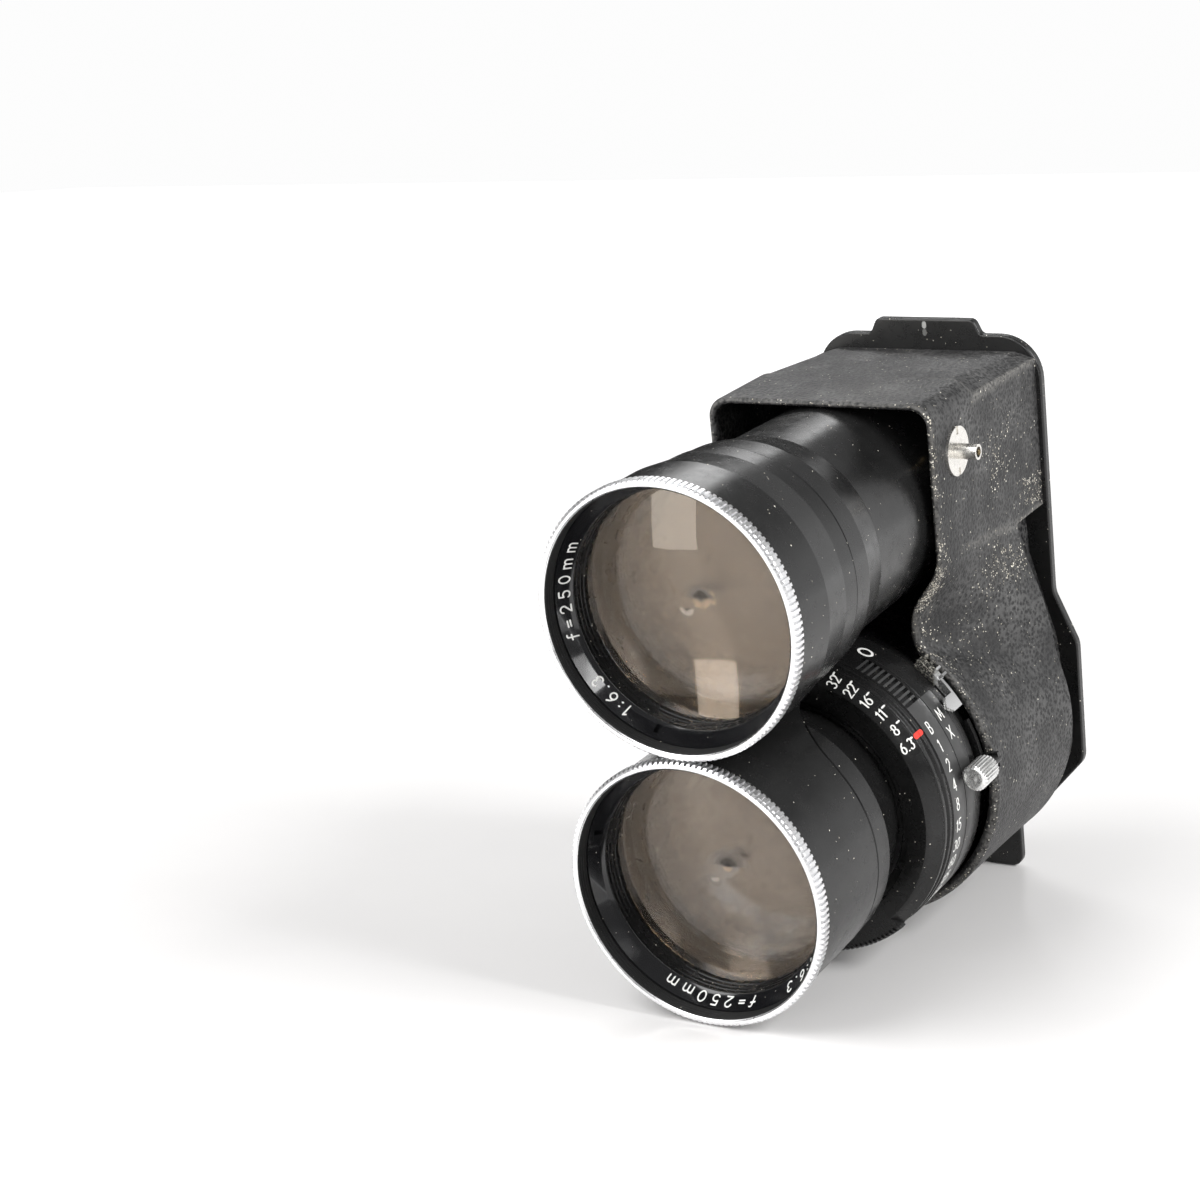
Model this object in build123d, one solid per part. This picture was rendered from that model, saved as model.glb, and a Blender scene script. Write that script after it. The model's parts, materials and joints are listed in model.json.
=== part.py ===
from build123d import *
import os
from math import asin, cos, radians, sin

# Interchangeable twin-lens unit of a twin lens reflex camera: two 250 mm f/6.3 lenses on one lens board.
# Millimetres. The origin is on the taking lens's axis at the lens board's back face.
# +Z is up, towards the viewing lens. The lenses look along -Y. +X is on the right from the front.

# ---------------------------------------------------------------- driving dimensions
AXIS_GAP = 50.0            # taking lens axis to viewing lens axis
FRONT_Y = -110.0           # front face of both filter rims
RIM_R = 24.9               # the two rims all but touch: twice this is just under AXIS_GAP
FILTER_R = 23.6            # bore inside the rims
SEAT_R = 22.9              # bore behind it, for the name ring and the retainer
TUBE_R = 24.3              # front tubes, just behind the rims

BOARD_T = 2.0              # lens board
BOARD_HALF = 23.9          # its upper half width
BOARD_LOW_HALF = 28.4      # its lower half width
BOARD_TOP = 72.6
TAB_TOP = 75.6
TAB_BOTTOM = -41.0

BOX_FRONT_Y = -50.0        # front edge of the housing, both the box and the cup
BOX_HALF = 22.8
BOX_TOP = 71.9
BOX_CORNER_R = 4.0
CUP_FRONT_R = 31.0         # round cup about the shutter
CUP_REAR_R = 32.0
CUP_REAR_Y = -15.0         # the flared cup ends here, and a narrower neck runs on to the board
ROOF_CREASE_Y = -32.0      # the box's roof slopes down behind this line
WALL = 1.2                 # box
CUP_WALL = 2.0

SCALE_R = 28.8             # speed ring and sync band
SLEEVE_R = 21.0            # sleeve that the shutter's rings turn on
RUN = 0.08                 # radial clearance of a turning ring
GAP = 0.1                  # axial gap between rings
LIGHT_R = 13.5             # clear radius through the blades

BLADES = 5
BLADE_T = 0.15
BLADE_PITCH = 0.36         # one blade's layer to the next
PIVOT_R = 18.0

BACK_NUT_T = 1.8
SPIGOT_R = 19.5            # rear end of the taking tube, through the board
SPIGOT_FREE_R = 19.3       # its free end, behind the lock nut
SPIGOT_STEP = 2.0
SPIGOT_END = 5.0
VIEW_SPIGOT_R = 15.5


# ---------------------------------------------------------------- helpers
def turned(points, axis_z=0.0, sweep=360):
    """A ring about the lens axis at height axis_z, from (y, r) corners."""
    outline = Polyline(*[(r, y) for y, r in points], close=True)
    return Pos(0, 0, axis_z) * revolve(make_face(outline), Axis.Y, sweep)


def ring(y0, y1, r_in, r_out, axis_z=0.0):
    return turned([(y0, r_in), (y0, r_out), (y1, r_out), (y1, r_in)], axis_z)


def clock(angle, part):
    """Turns a part about the taking axis, clockwise from the top as seen from the front."""
    return Rot(0, angle, 0) * part


def upright(face_sketch, y0, y1):
    """Extrudes an X-Z outline from y0 back to y1."""
    plane = Plane(origin=(0, y1, 0), x_dir=(1, 0, 0), z_dir=(0, -1, 0))
    return extrude(plane * face_sketch, y1 - y0)


def sector(y0, y1, r_in, r_out, start, end):
    """A piece of ring between two clock angles."""
    steps = [radians(start + (end - start) * k / 2) for k in range(3)]
    inner = [(r_in * sin(a), r_in * cos(a)) for a in steps]
    outer = [(r_out * sin(a), r_out * cos(a)) for a in steps]
    ends = [Line(inner[2], outer[2]), Line(outer[0], inner[0])]
    return upright(make_face([ThreePointArc(*inner), ThreePointArc(*outer), *ends]), y0, y1)


def round_disc(y0, y1, r, x, z):
    return upright(Pos(x, z) * Circle(r), y0, y1)


def lens(y_front, y_back, r, front_bulge, back_bulge, axis_z=0.0):
    """A lens element. Its rim runs from y_front to y_back. A bulge is positive where the face is convex."""

    def face(y_rim, bulge, outward):
        radius = (r * r + bulge * bulge) / (2 * abs(bulge))
        half = asin(r / radius) / 2
        sag = radius * (1 - cos(half))
        side = outward if bulge > 0 else -outward
        crown = y_rim + side * abs(bulge)
        return crown, (radius * sin(half), crown - side * sag)

    front, front_mid = face(y_front, front_bulge, -1)
    back, back_mid = face(y_back, back_bulge, 1)
    edges = [
        ThreePointArc((0, front), front_mid, (r, y_front)),
        Line((r, y_front), (r, y_back)),
        ThreePointArc((r, y_back), back_mid, (0, back)),
        Line((0, back), (0, front)),
    ]
    return Pos(0, 0, axis_z) * revolve(make_face(edges), Axis.Y)


# ---------------------------------------------------------------- lens board
def board_outline(inset=0.0):
    """The board's outline: a tab at the top, a wider lower half, and a hook tab at the bottom."""
    half = [
        (10.4, TAB_TOP, 1.6),
        (11.8, BOARD_TOP, 1.2),
        (BOARD_HALF, BOARD_TOP, 8.5),
        (BOARD_HALF, 20.5, 5.0),
        (BOARD_LOW_HALF, 10.0, 5.0),
        (BOARD_LOW_HALF, -15.2, 4.0),
        (13.7, -32.0, 1.5),
        (13.7, TAB_BOTTOM, 2.5),
    ]
    corners = half + [(-x, z, r) for x, z, r in reversed(half)]
    outline = FilletPolyline(*[(x, z) for x, z, r in corners], radius=[r for x, z, r in corners], close=True)
    face = make_face(outline)
    return offset(face, -inset) if inset else face


BOSSES = [(-18.6, 63.3), (18.6, 63.3), (-23.6, 2.0), (23.6, 2.0)]
SCREW_R = 0.9
BOSS_R = 3.0
BOARD_EDGE_R = 0.4


def lens_board():
    board = upright(board_outline(), -BOARD_T, 0)
    flats = board.faces().sort_by(Axis.Y)
    board = fillet(flats[0].edges() + flats[-1].edges(), BOARD_EDGE_R)
    board -= ring(-BOARD_T - 1, 1, 0, SPIGOT_R + 0.02)
    board -= ring(-BOARD_T - 1, 1, 0, VIEW_SPIGOT_R + 0.02, AXIS_GAP)
    for x, z in BOSSES:
        board -= round_disc(-BOARD_T - 1, 1, SCREW_R + 0.15, x, z)
        board -= round_disc(-0.8, 1, 1.9, x, z)
    return board


def housing_screws():
    screws = []
    for x, z in BOSSES:
        shank = round_disc(-9.0, -0.75, SCREW_R, x, z)
        head = round_disc(-0.75, -0.1, 1.75, x, z)
        slot = upright(Pos(x, z) * Rectangle(4, 0.4), -0.45, 0.5)
        screws.append(shank + head - slot)
    return Compound(screws)


SEAL_WIDTH = 1.2
SEAL_T = 0.8


def light_seal():
    """Felt frame glued on the board's back, inside its edge."""
    half = [(16.8, 71.3), (22.6, 65.5), (22.6, 20.0), (27.0, 9.5), (27.0, -14.5), (12.8, -31.0)]
    corners = half + [(-x, z) for x, z in reversed(half)]
    outer = make_face(Polyline(*corners, close=True))
    return upright(outer - offset(outer, -SEAL_WIDTH), 0, SEAL_T)


# ---------------------------------------------------------------- housing: box above, cup below
def housing_section(y, half, top, corner, crease, cup_r, meet, waist):
    """A closed X-Z outline at one y: roof, corners, sides, waist curves and the round of the cup.

    crease is the height where the side ends, meet the clock angle where the cup starts, and waist the
    point between them.
    """
    a = radians(meet)
    meet_pt = (cup_r * sin(a), cup_r * cos(a))
    along_cup = (cos(a), -sin(a))

    def flip(point):
        return -point[0], point[1]

    roof = Line((-half + corner, top), (half - corner, top))
    turn = radians(45)
    mid = (half - corner + corner * sin(turn), top - corner + corner * cos(turn))
    corner_pts = [(half - corner, top), mid, (half, top - corner)]
    corner_r = ThreePointArc(*corner_pts)
    corner_l = ThreePointArc(*[flip(p) for p in reversed(corner_pts)])
    side_r = Line((half, top - corner), (half, crease))
    side_l = Line((-half, crease), (-half, top - corner))
    waist_r = Spline((half, crease), waist, meet_pt, tangents=[(0, -1), along_cup])
    rising = [(along_cup[0], -along_cup[1]), (0, 1)]
    waist_l = Spline(flip(meet_pt), flip(waist), (-half, crease), tangents=rising)
    cup = ThreePointArc(meet_pt, (0, -cup_r), flip(meet_pt))
    plane = Plane(origin=(0, y, 0), x_dir=(1, 0, 0), z_dir=(0, -1, 0))
    edges = [roof, corner_r, side_r, waist_r, cup, waist_l, side_l, corner_l]
    return plane * make_face(edges)


def housing_body(wall, cup_wall, front_y, rear_y):
    """The flared body from front to rear, drawn in by a wall's thickness on every side."""
    box = BOX_HALF - wall, BOX_TOP - wall, BOX_CORNER_R - wall / 2
    front = housing_section(front_y, *box, 43.0, CUP_FRONT_R - cup_wall, 37.0, (16.9 - wall, 31.5))
    rear = housing_section(rear_y, *box, 39.5, CUP_REAR_R - cup_wall, 72.0, (27.6 - wall, 22.5))
    return loft([front, rear], ruled=True)


def neck(inset, front_y):
    """The neck between the flared body and the board. It leaves a hollow below each side crease."""
    half = [
        (BOX_HALF, BOX_TOP, BOX_CORNER_R),
        (BOX_HALF, 38.9, 0.3),
        (19.2, 37.4, 1.5),
        (19.4, 28.5, 3.0),
        (24.4, 10.0, 4.0),
        (26.6, -13.0, 4.0),
        (13.0, -31.5, 1.5),
    ]
    corners = half + [(-x, z, r) for x, z, r in reversed(half)]
    outline = FilletPolyline(*[(x, z) for x, z, r in corners], radius=[r for x, z, r in corners], close=True)
    face = make_face(outline)
    return upright(offset(face, -inset) if inset else face, front_y, -BOARD_T)


def roof_cutter(drop):
    """What lies above the sloping roof behind the crease."""
    near = [(-26, 67.1), (-18.9, BOX_TOP), (18.9, BOX_TOP), (26, 67.1), (26, 90), (-26, 90)]
    far = [(-26, 67.2), (-18.9, 69.3), (18.9, 69.3), (26, 67.2), (26, 90), (-26, 90)]
    faces = []
    for y, corners in ((ROOF_CREASE_Y, near), (0.0, far)):
        plane = Plane(origin=(0, y, -drop), x_dir=(1, 0, 0), z_dir=(0, -1, 0))
        faces.append(plane * make_face(Polyline(*corners, close=True)))
    return loft(faces, ruled=True)


SOCKET_Y, SOCKET_Z = -40.5, 60.8


def housing_shell():
    body = housing_body(0.0, 0.0, BOX_FRONT_Y, CUP_REAR_Y)
    outer = body + neck(0.0, CUP_REAR_Y - 1) - roof_cutter(0.0)
    cavity = housing_body(WALL, CUP_WALL, BOX_FRONT_Y - 1, CUP_REAR_Y - CUP_WALL)
    room = neck(1.5 * WALL, CUP_REAR_Y - 2 * CUP_WALL)
    hollow = cavity + room - roof_cutter(WALL)
    shell = outer - hollow
    for x, z in BOSSES:
        shell += round_disc(-13.0, -BOARD_T, BOSS_R, x, z) & outer
        shell -= round_disc(-9.2, 1, SCREW_R + 0.02, x, z)
    hole = Pos(BOX_HALF, SOCKET_Y, SOCKET_Z) * Rot(0, 90, 0) * Cylinder(2.5, 6)
    return shell - hole


def along_x(x0, x1, r_in, r_out):
    """A ring about the sync socket's axis, from x0 out to x1."""
    place = Pos((x0 + x1) / 2, SOCKET_Y, SOCKET_Z) * Rot(0, 90, 0)
    solid = place * Cylinder(r_out, x1 - x0)
    return solid - place * Cylinder(r_in, x1 - x0 + 1) if r_in else solid


def sync_socket():
    flange = along_x(BOX_HALF, BOX_HALF + 0.5, 1.0, 4.6) + along_x(BOX_HALF - WALL - 1.2, BOX_HALF, 1.0, 2.4)
    for side in (-1, 1):
        flange -= Pos(BOX_HALF + 0.5, SOCKET_Y, SOCKET_Z + side * 3.9) * Box(0.5, 0.7, 1.6)
    nose = along_x(BOX_HALF + 0.5, BOX_HALF + 4.4, 1.0, 1.45)
    insulator = along_x(BOX_HALF - WALL - 1.2, BOX_HALF + 2.6, 0.45, 1.0)
    pin = along_x(BOX_HALF - WALL - 2.6, BOX_HALF + 3.7, 0, 0.45)
    nut = along_x(BOX_HALF - WALL - 1.2, BOX_HALF - WALL, 2.4, 3.8)
    return {"sync_socket_flange": flange, "sync_socket_nose": nose, "sync_socket_insulator": insulator,
            "sync_socket_pin": pin, "sync_socket_nut": nut}


# ---------------------------------------------------------------- what the two lenses share
GLASS_R = 22.2
RIM_BACK = FRONT_Y + 2.6
NAME_FRONT = FRONT_Y + 3.4
NAME_BACK = NAME_FRONT + 3.1
RETAIN_BACK = NAME_BACK + 4.0
FRONT_STACK = {"crown": 3.2, "flint": 2.6, "spacer": 2.8, "third": 3.0}


def front_optics(name, axis_z):
    """Filter rim, name ring, retainer and the front elements with their spacer."""
    rim = turned([(FRONT_Y, FILTER_R), (FRONT_Y, RIM_R - 0.5), (FRONT_Y + 0.5, RIM_R), (RIM_BACK, RIM_R),
                  (RIM_BACK, 24.0), (NAME_FRONT, 24.0), (NAME_FRONT, FILTER_R)], axis_z)
    cone = [(NAME_FRONT, 22.8), (NAME_FRONT, SEAT_R), (NAME_BACK, SEAT_R), (NAME_BACK, 21.6)]
    name_ring = turned(cone, axis_z)
    for side in (-1, 1):
        notch = Pos(side * 22.5, NAME_FRONT + 0.6, axis_z) * Box(1.3, 2.4, 1.0)
        name_ring -= notch
    retainer = turned([(NAME_BACK, 21.5), (NAME_BACK, SEAT_R), (RETAIN_BACK, SEAT_R), (RETAIN_BACK, 21.0),
                       (RETAIN_BACK - 1.0, 20.9)], axis_z)
    y = RETAIN_BACK
    crown_back = y + FRONT_STACK["crown"]
    flint_front = crown_back + 0.04
    flint_back = flint_front + FRONT_STACK["flint"]
    spacer_back = flint_back + FRONT_STACK["spacer"]
    third_front = spacer_back + 0.1
    third_back = third_front + FRONT_STACK["third"]
    return third_back, {
        name + "_rim": rim,
        name + "_name_ring": name_ring,
        name + "_front_retainer": retainer,
        name + "_front_crown": lens(y, crown_back, GLASS_R, 2.5, 1.6, axis_z),
        name + "_front_flint": lens(flint_front, flint_back, GLASS_R, -1.6, -0.5, axis_z),
        name + "_spacer": ring(flint_back, spacer_back, 21.2, GLASS_R, axis_z),
        name + "_third_element": lens(third_front, third_back, GLASS_R, 1.0, -1.8, axis_z),
    }


def front_tube(outer, back, axis_z):
    """A front tube: its outside profile runs from the rim back to y = back."""
    inner = [(back, GLASS_R + 0.02), (RETAIN_BACK, GLASS_R + 0.02), (RETAIN_BACK, SEAT_R + 0.02),
             (NAME_FRONT, SEAT_R + 0.02), (NAME_FRONT, 24.02), (RIM_BACK, 24.02)]
    return turned(outer + inner, axis_z)


def rear_optics(name, axis_z, r, y_front, tube_bore):
    """Rear positive and negative elements and the ring that holds them."""
    y1 = y_front + 3.2
    y2 = y1 + 1.6
    y3 = y2 + 3.4
    return {
        name + "_rear_positive": lens(y_front, y1, r, 1.0, 0.8, axis_z),
        name + "_rear_negative": lens(y2, y3, r, -0.9, 0.7, axis_z),
        name + "_rear_retainer": ring(y1 + 0.12, y2, r - 0.6, tube_bore - 0.02, axis_z),
    }


# ---------------------------------------------------------------- viewing lens
VIEW_JOINT_1 = -84.2       # front tube to mid tube
VIEW_JOINT_2 = -70.5       # mid tube to rear tube
VIEW_STEP_Y = -34.0        # the rear tube narrows here to clear the sloping roof
VIEW_END = 2.4


def viewing_lens():
    z = AXIS_GAP
    stack_back, parts = front_optics("viewing", z)
    outside = [(RIM_BACK, TUBE_R), (-97.0, TUBE_R), (-89.0, 23.35), (VIEW_JOINT_1, 23.2)]
    parts["viewing_front_tube"] = front_tube(outside, VIEW_JOINT_1, z)
    parts["viewing_mid_tube"] = turned([
        (stack_back, 20.2), (stack_back, GLASS_R), (VIEW_JOINT_1, GLASS_R), (VIEW_JOINT_1, 23.05),
        (-78.5, 22.7), (VIEW_JOINT_2, 21.2), (VIEW_JOINT_2, 19.6), (VIEW_JOINT_2 - 3, 19.6),
        (VIEW_JOINT_2 - 5, 20.2)], z)
    parts["viewing_rear_tube"] = turned([
        (VIEW_JOINT_2 - 3, 18.4), (VIEW_JOINT_2 - 3, 19.58), (VIEW_JOINT_2, 19.58), (VIEW_JOINT_2, 21.0),
        (-66.5, 20.75), (-50.0, 20.4), (VIEW_STEP_Y, 20.4), (VIEW_STEP_Y, 16.4), (-BOARD_T, 16.4),
        (-BOARD_T, VIEW_SPIGOT_R), (VIEW_END, VIEW_SPIGOT_R), (VIEW_END, 14.0), (-12.0, 14.0), (-12.0, 14.6),
        (VIEW_STEP_Y - 1.5, 14.6), (VIEW_STEP_Y - 1.5, 18.4)], z)
    parts["viewing_lock_nut"] = spanner_nut(VIEW_SPIGOT_R + 0.02, 19.0, z)
    parts.update(rear_optics("viewing", z, 14.5, -24.0, 14.6))
    return parts


def spanner_nut(r_in, r_out, axis_z):
    """Slotted ring nut on the board's back face."""
    nut = ring(0, BACK_NUT_T, r_in, r_out, axis_z)
    for side in (-1, 1):
        nut -= Pos(side * (r_in + r_out) / 2, BACK_NUT_T, axis_z) * Box(2 * (r_out - r_in), 1.6, 1.6)
    return nut


# ---------------------------------------------------------------- taking lens
TAKE_JOINT = -86.7         # front tube to mid tube
TAKE_MID_BACK = -81.2
NECK_R = 20.3
NECK_BACK = -70.6
TONGUE_BACK = -72.6        # a tongue of the front tube reaches back over the neck at the top
TONGUE_R = 22.9


def tongue_outline(margin=0.0):
    """Seen from above: a round-ended tongue whose flanks flare into the tube's back edge."""
    tip, root = 5.4 + margin, 18.0 + margin
    end_y, root_y, base_y = TONGUE_BACK - 2.6, TAKE_JOINT - 0.2 + margin, TAKE_JOINT - 2
    right = Spline((tip, end_y), (8.5 + margin, -80.0), (root, root_y), tangents=[(0.15, -1), (1, -0.02)])
    left = Spline((-root, root_y), (-8.5 - margin, -80.0), (-tip, end_y), tangents=[(1, 0.02), (0.15, 1)])
    end = ThreePointArc((-tip, end_y), (0, TONGUE_BACK + margin), (tip, end_y))
    base = Polyline((root, root_y), (root, base_y), (-root, base_y), (-root, root_y))
    return make_face([right, base, left, end])


def taking_lens():
    stack_back, parts = front_optics("taking", 0.0)
    outside = [(RIM_BACK, TUBE_R), (-97.0, TUBE_R), (TAKE_JOINT, 24.05)]
    tube = front_tube(outside, TAKE_JOINT, 0.0)
    tongue_prism = extrude(Plane.XY * tongue_outline(), 40)
    tongue = ring(TAKE_JOINT - 3, TONGUE_BACK, TONGUE_R, 24.05) & tongue_prism
    parts["taking_front_tube"] = tube + tongue
    mid = turned([
        (stack_back, 20.2), (stack_back, GLASS_R), (TAKE_JOINT, GLASS_R), (TAKE_JOINT, 24.0),
        (TAKE_MID_BACK, 23.75), (TAKE_MID_BACK + 0.8, NECK_R + 0.6), (TAKE_MID_BACK + 1.4, NECK_R),
        (NECK_BACK, NECK_R), (NECK_BACK, 19.0),
        (-64.0, 19.0), (-64.0, 17.6), (-76.0, 17.6)])
    tongue_path = extrude(Plane.XY * tongue_outline(GAP), 40) & ring(TAKE_JOINT - 1, -60, TONGUE_R - GAP, 26)
    parts["taking_mid_tube"] = mid - tongue_path
    parts["taking_rear_tube"] = turned([
        (CASE_BACK + BACK_PLATE_T, 17.0), (CASE_BACK + BACK_PLATE_T, 20.3),
        (-BOARD_T, 20.3), (-BOARD_T, SPIGOT_R), (SPIGOT_STEP, SPIGOT_R),
        (SPIGOT_STEP, SPIGOT_FREE_R), (SPIGOT_END, SPIGOT_FREE_R), (SPIGOT_END, 17.4),
        (-14.0, 17.4), (-14.0, 17.0)])
    parts["taking_lock_nut"] = spanner_nut(SPIGOT_R + 0.02, 21.4, 0.0)
    parts.update(rear_optics("taking", 0.0, 16.9, -26.0, 17.0))
    return parts


# ---------------------------------------------------------------- shutter, fixed pieces
APERTURE_FRONT = -71.5
APERTURE_BACK = -68.6
INDEX_FRONT = APERTURE_BACK + GAP
INDEX_BACK = -65.4
SPEED_FRONT = INDEX_BACK + GAP
SPEED_BACK = -59.4
CASE_FRONT = SPEED_BACK + GAP
BAND_BACK = -53.0
CASE_R = 27.4              # body of the case behind the sync band
CASE_BACK = -37.0
BACK_PLATE_T = 1.6
CASE_WALL = 1.4


def shutter_case():
    """Front sleeve, front wall, sync band and the drum that holds the works."""
    return turned([
        (-70.4, 19.05), (-70.4, SLEEVE_R), (CASE_FRONT, SLEEVE_R), (CASE_FRONT, SCALE_R - 0.25),
        (CASE_FRONT + 0.25, SCALE_R), (BAND_BACK, SCALE_R), (BAND_BACK, CASE_R), (CASE_BACK, CASE_R),
        (CASE_BACK, CASE_R - CASE_WALL), (CASE_FRONT + 1.4, CASE_R - CASE_WALL),
        (CASE_FRONT + 1.4, LIGHT_R + 0.6),
        (-62.4, LIGHT_R + 0.6), (-62.4, 19.05)])


def shutter_fixed():
    plate = ring(CASE_BACK, CASE_BACK + BACK_PLATE_T, 17.0, CASE_R)
    index = turned([
        (INDEX_FRONT, SLEEVE_R + 0.02), (INDEX_FRONT, 28.2), (INDEX_FRONT + 0.3, 28.5), (-67.2, 28.5),
        (-67.0, 28.1), (-66.6, 28.1), (-66.4, 28.6), (INDEX_BACK, 28.6), (INDEX_BACK, SLEEVE_R + 0.02)])
    scale_nut = ring(-70.0, -69.5, SLEEVE_R + 0.02, 22.6)
    return {"shutter_case": shutter_case(), "shutter_back_plate": plate, "index_ring": index,
            "scale_retaining_ring": scale_nut}


# ---------------------------------------------------------------- shutter, rings and levers
def aperture_ring():
    """Bevelled scale ring with a raised, ribbed grip at the bottom."""
    body = turned([
        (APERTURE_FRONT, 22.8), (APERTURE_FRONT, 26.2), (APERTURE_FRONT + 0.3, 26.6), (-68.9, 28.5),
        (APERTURE_BACK, 28.5), (APERTURE_BACK, SLEEVE_R + RUN), (-69.4, SLEEVE_R + RUN), (-69.4, 22.8)])
    grip = sector(-71.2, APERTURE_BACK, 26.6, 29.1, 138, 222)
    pitch = 2.1
    for k in range(40):
        cut = upright(Pos(0, 29.0) * Rectangle(0.5, 0.9), -72, APERTURE_BACK - 0.35)
        grip -= clock(139.05 + k * pitch, cut)
    return body + grip


def speed_ring():
    """Scale ring with two blocks of grip ribs."""
    body = turned([
        (SPEED_FRONT, SLEEVE_R + RUN), (SPEED_FRONT, SCALE_R - 0.3), (SPEED_FRONT + 0.3, SCALE_R),
        (SPEED_BACK, SCALE_R),
        (SPEED_BACK, 27.0), (SPEED_FRONT + 1.6, 27.0), (SPEED_FRONT + 1.6, SLEEVE_R + RUN)])
    for start in (22.6, 202.6):
        for k in range(11):
            groove = Pos(0, -62.6, SCALE_R) * Box(0.55, 4.9, 1.1)
            body -= clock(start + 2.36 * k, groove)
    return body


def cam_ring(y):
    return ring(y, y + 0.6, LIGHT_R + 0.4, 23.6)


def arc_blade(y, r_in, r_out, start, span):
    """A curved blade whose round root end is at clock angle start."""
    band = sector(y, y + BLADE_T, r_in, r_out, start, start + span)
    mid, half = (r_in + r_out) / 2, (r_out - r_in) / 2
    for angle in (start, start + span):
        a = radians(angle)
        band += round_disc(y, y + BLADE_T, half, mid * sin(a), mid * cos(a))
    a = radians(start)
    return band - round_disc(y - 1, y + 1, 0.5, PIVOT_R * sin(a), PIVOT_R * cos(a))


IRIS_Y = -43.0
SHUTTER_Y = -50.0
IRIS_SPAN = 128
SHUTTER_SPAN = 104
SHUTTER_CLOSED = 46.0      # degrees that a shutter blade lies inward of its open place


def iris_blade(k):
    return arc_blade(IRIS_Y + k * BLADE_PITCH, LIGHT_R + 0.2, 22.3, 360 / BLADES * k, IRIS_SPAN)


def shutter_blade(k):
    """An arc like the iris blade's, swung inward about its pivot so that the light path is closed."""
    start = 360 / BLADES * k
    open_blade = arc_blade(SHUTTER_Y + k * BLADE_PITCH, LIGHT_R + 0.2, 22.3, start, SHUTTER_SPAN)
    a = radians(start)
    pivot = Pos(PIVOT_R * sin(a), 0, PIVOT_R * cos(a))
    return pivot * Rot(0, SHUTTER_CLOSED, 0) * pivot.inverse() * open_blade


COCK_ANGLE, COCK_R = 80.0, 31.8
COCK_Y = (-51.7, -50.7)
POINTER_START, POINTER_END = 52.6, 58.2


def cocking_lever():
    plate = sector(*COCK_Y, CASE_R + 0.35, 29.4, COCK_ANGLE - 16, COCK_ANGLE + 5)
    arm = sector(*COCK_Y, 29.0, COCK_R + 1.0, COCK_ANGLE - 2.4, COCK_ANGLE + 2.4)
    a = radians(COCK_ANGLE)
    stem = round_disc(-54.8, COCK_Y[1], 1.1, COCK_R * sin(a), COCK_R * cos(a))
    return plate + arm + stem


def cocking_knob():
    """Knurled cylinder on the cocking lever's stem."""
    head = round_disc(-61.0, -54.8, 2.35, 0, COCK_R)
    head = chamfer(head.edges().sort_by(Axis.Y)[0], 0.3)
    for k in range(20):
        a = radians(18 * k)
        head -= Pos(2.45 * sin(a), -57.5, COCK_R + 2.45 * cos(a)) * Rot(0, 18 * k, 0) * Box(0.3, 6.2, 0.5)
    return clock(COCK_ANGLE, head)


def sync_lever():
    """Serrated root, an arm that follows the band's back edge, and a pointed tab bent over the band."""
    arm = sector(-52.75, -52.0, CASE_R + 0.35, 30.0, 36.5, 47.0)
    arm += sector(-52.75, -52.0, 28.9, 30.5, 46.5, POINTER_END)
    for k in range(4):
        tooth = 38.0 + 2.75 * k
        arm += sector(-52.75, -51.0, 29.0, 31.4, tooth - 0.45, tooth + 0.45)
    arm += sector(-53.0, -51.0, 29.0, 30.3, 36.5, 47.0)
    tab = sector(-55.2, -52.0, 29.9, 30.5, POINTER_START, POINTER_END)
    middle = (POINTER_START + POINTER_END) / 2
    for k in range(5):
        spread = 0.5 * (POINTER_END - POINTER_START) * (1 - k / 5)
        tab += sector(-55.2 - 0.33 * (k + 1), -55.0, 29.9, 30.5, middle - spread, middle + spread)
    return arm + tab


RELEASE_ANGLE = 236.0


def release_lever():
    plate = sector(*COCK_Y, CASE_R + 0.35, 29.4, RELEASE_ANGLE - 12, RELEASE_ANGLE + 10)
    arm = sector(*COCK_Y, 29.0, 34.4, RELEASE_ANGLE - 2.6, RELEASE_ANGLE + 2.6)
    pad = sector(-55.4, COCK_Y[1], 33.2, 34.4, RELEASE_ANGLE - 2.6, RELEASE_ANGLE + 2.6)
    return plate + arm + pad


def main_spring():
    """Open coil in the drum, beside the light path."""
    coil = Helix(pitch=1.1, height=5.5, radius=1.6)
    profile = Plane(origin=coil @ 0, z_dir=coil % 0) * Circle(0.28)
    return Pos(-23.6, -56.6, 0) * Rot(-90, 0, 0) * sweep(profile, coil)


# ---------------------------------------------------------------- write every node
nodes = {
    "lens_board": lens_board(),
    "housing_shell": housing_shell(),
    "housing_screws": housing_screws(),
    "light_seal": light_seal(),
    "aperture_ring": aperture_ring(),
    "aperture_cam_ring": cam_ring(IRIS_Y + BLADES * BLADE_PITCH + 0.3),
    "speed_ring": speed_ring(),
    "blade_drive_ring": cam_ring(SHUTTER_Y + BLADES * BLADE_PITCH + 0.3),
    "cocking_lever": cocking_lever(),
    "cocking_knob": cocking_knob(),
    "sync_lever": sync_lever(),
    "release_lever": release_lever(),
    "main_spring": main_spring(),
}
nodes.update(sync_socket())
nodes.update(viewing_lens())
nodes.update(taking_lens())
nodes.update(shutter_fixed())
for blade in range(BLADES):
    nodes[f"iris_blade_{blade + 1}"] = iris_blade(blade)
    nodes[f"shutter_blade_{blade + 1}"] = shutter_blade(blade)

os.makedirs("parts", exist_ok=True)
for name, part in nodes.items():
    export_step(part, f"parts/{name}.step")
    print(name, len(part.solids()), round(part.volume, 1))
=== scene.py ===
"""Looks for the interchangeable twin-lens unit: barrels, rims, rings, lettering, housing and studio."""

import json
from math import atan2, cos, hypot, radians, sin

import bpy
import bmesh
from mathutils import Matrix, Vector


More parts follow.
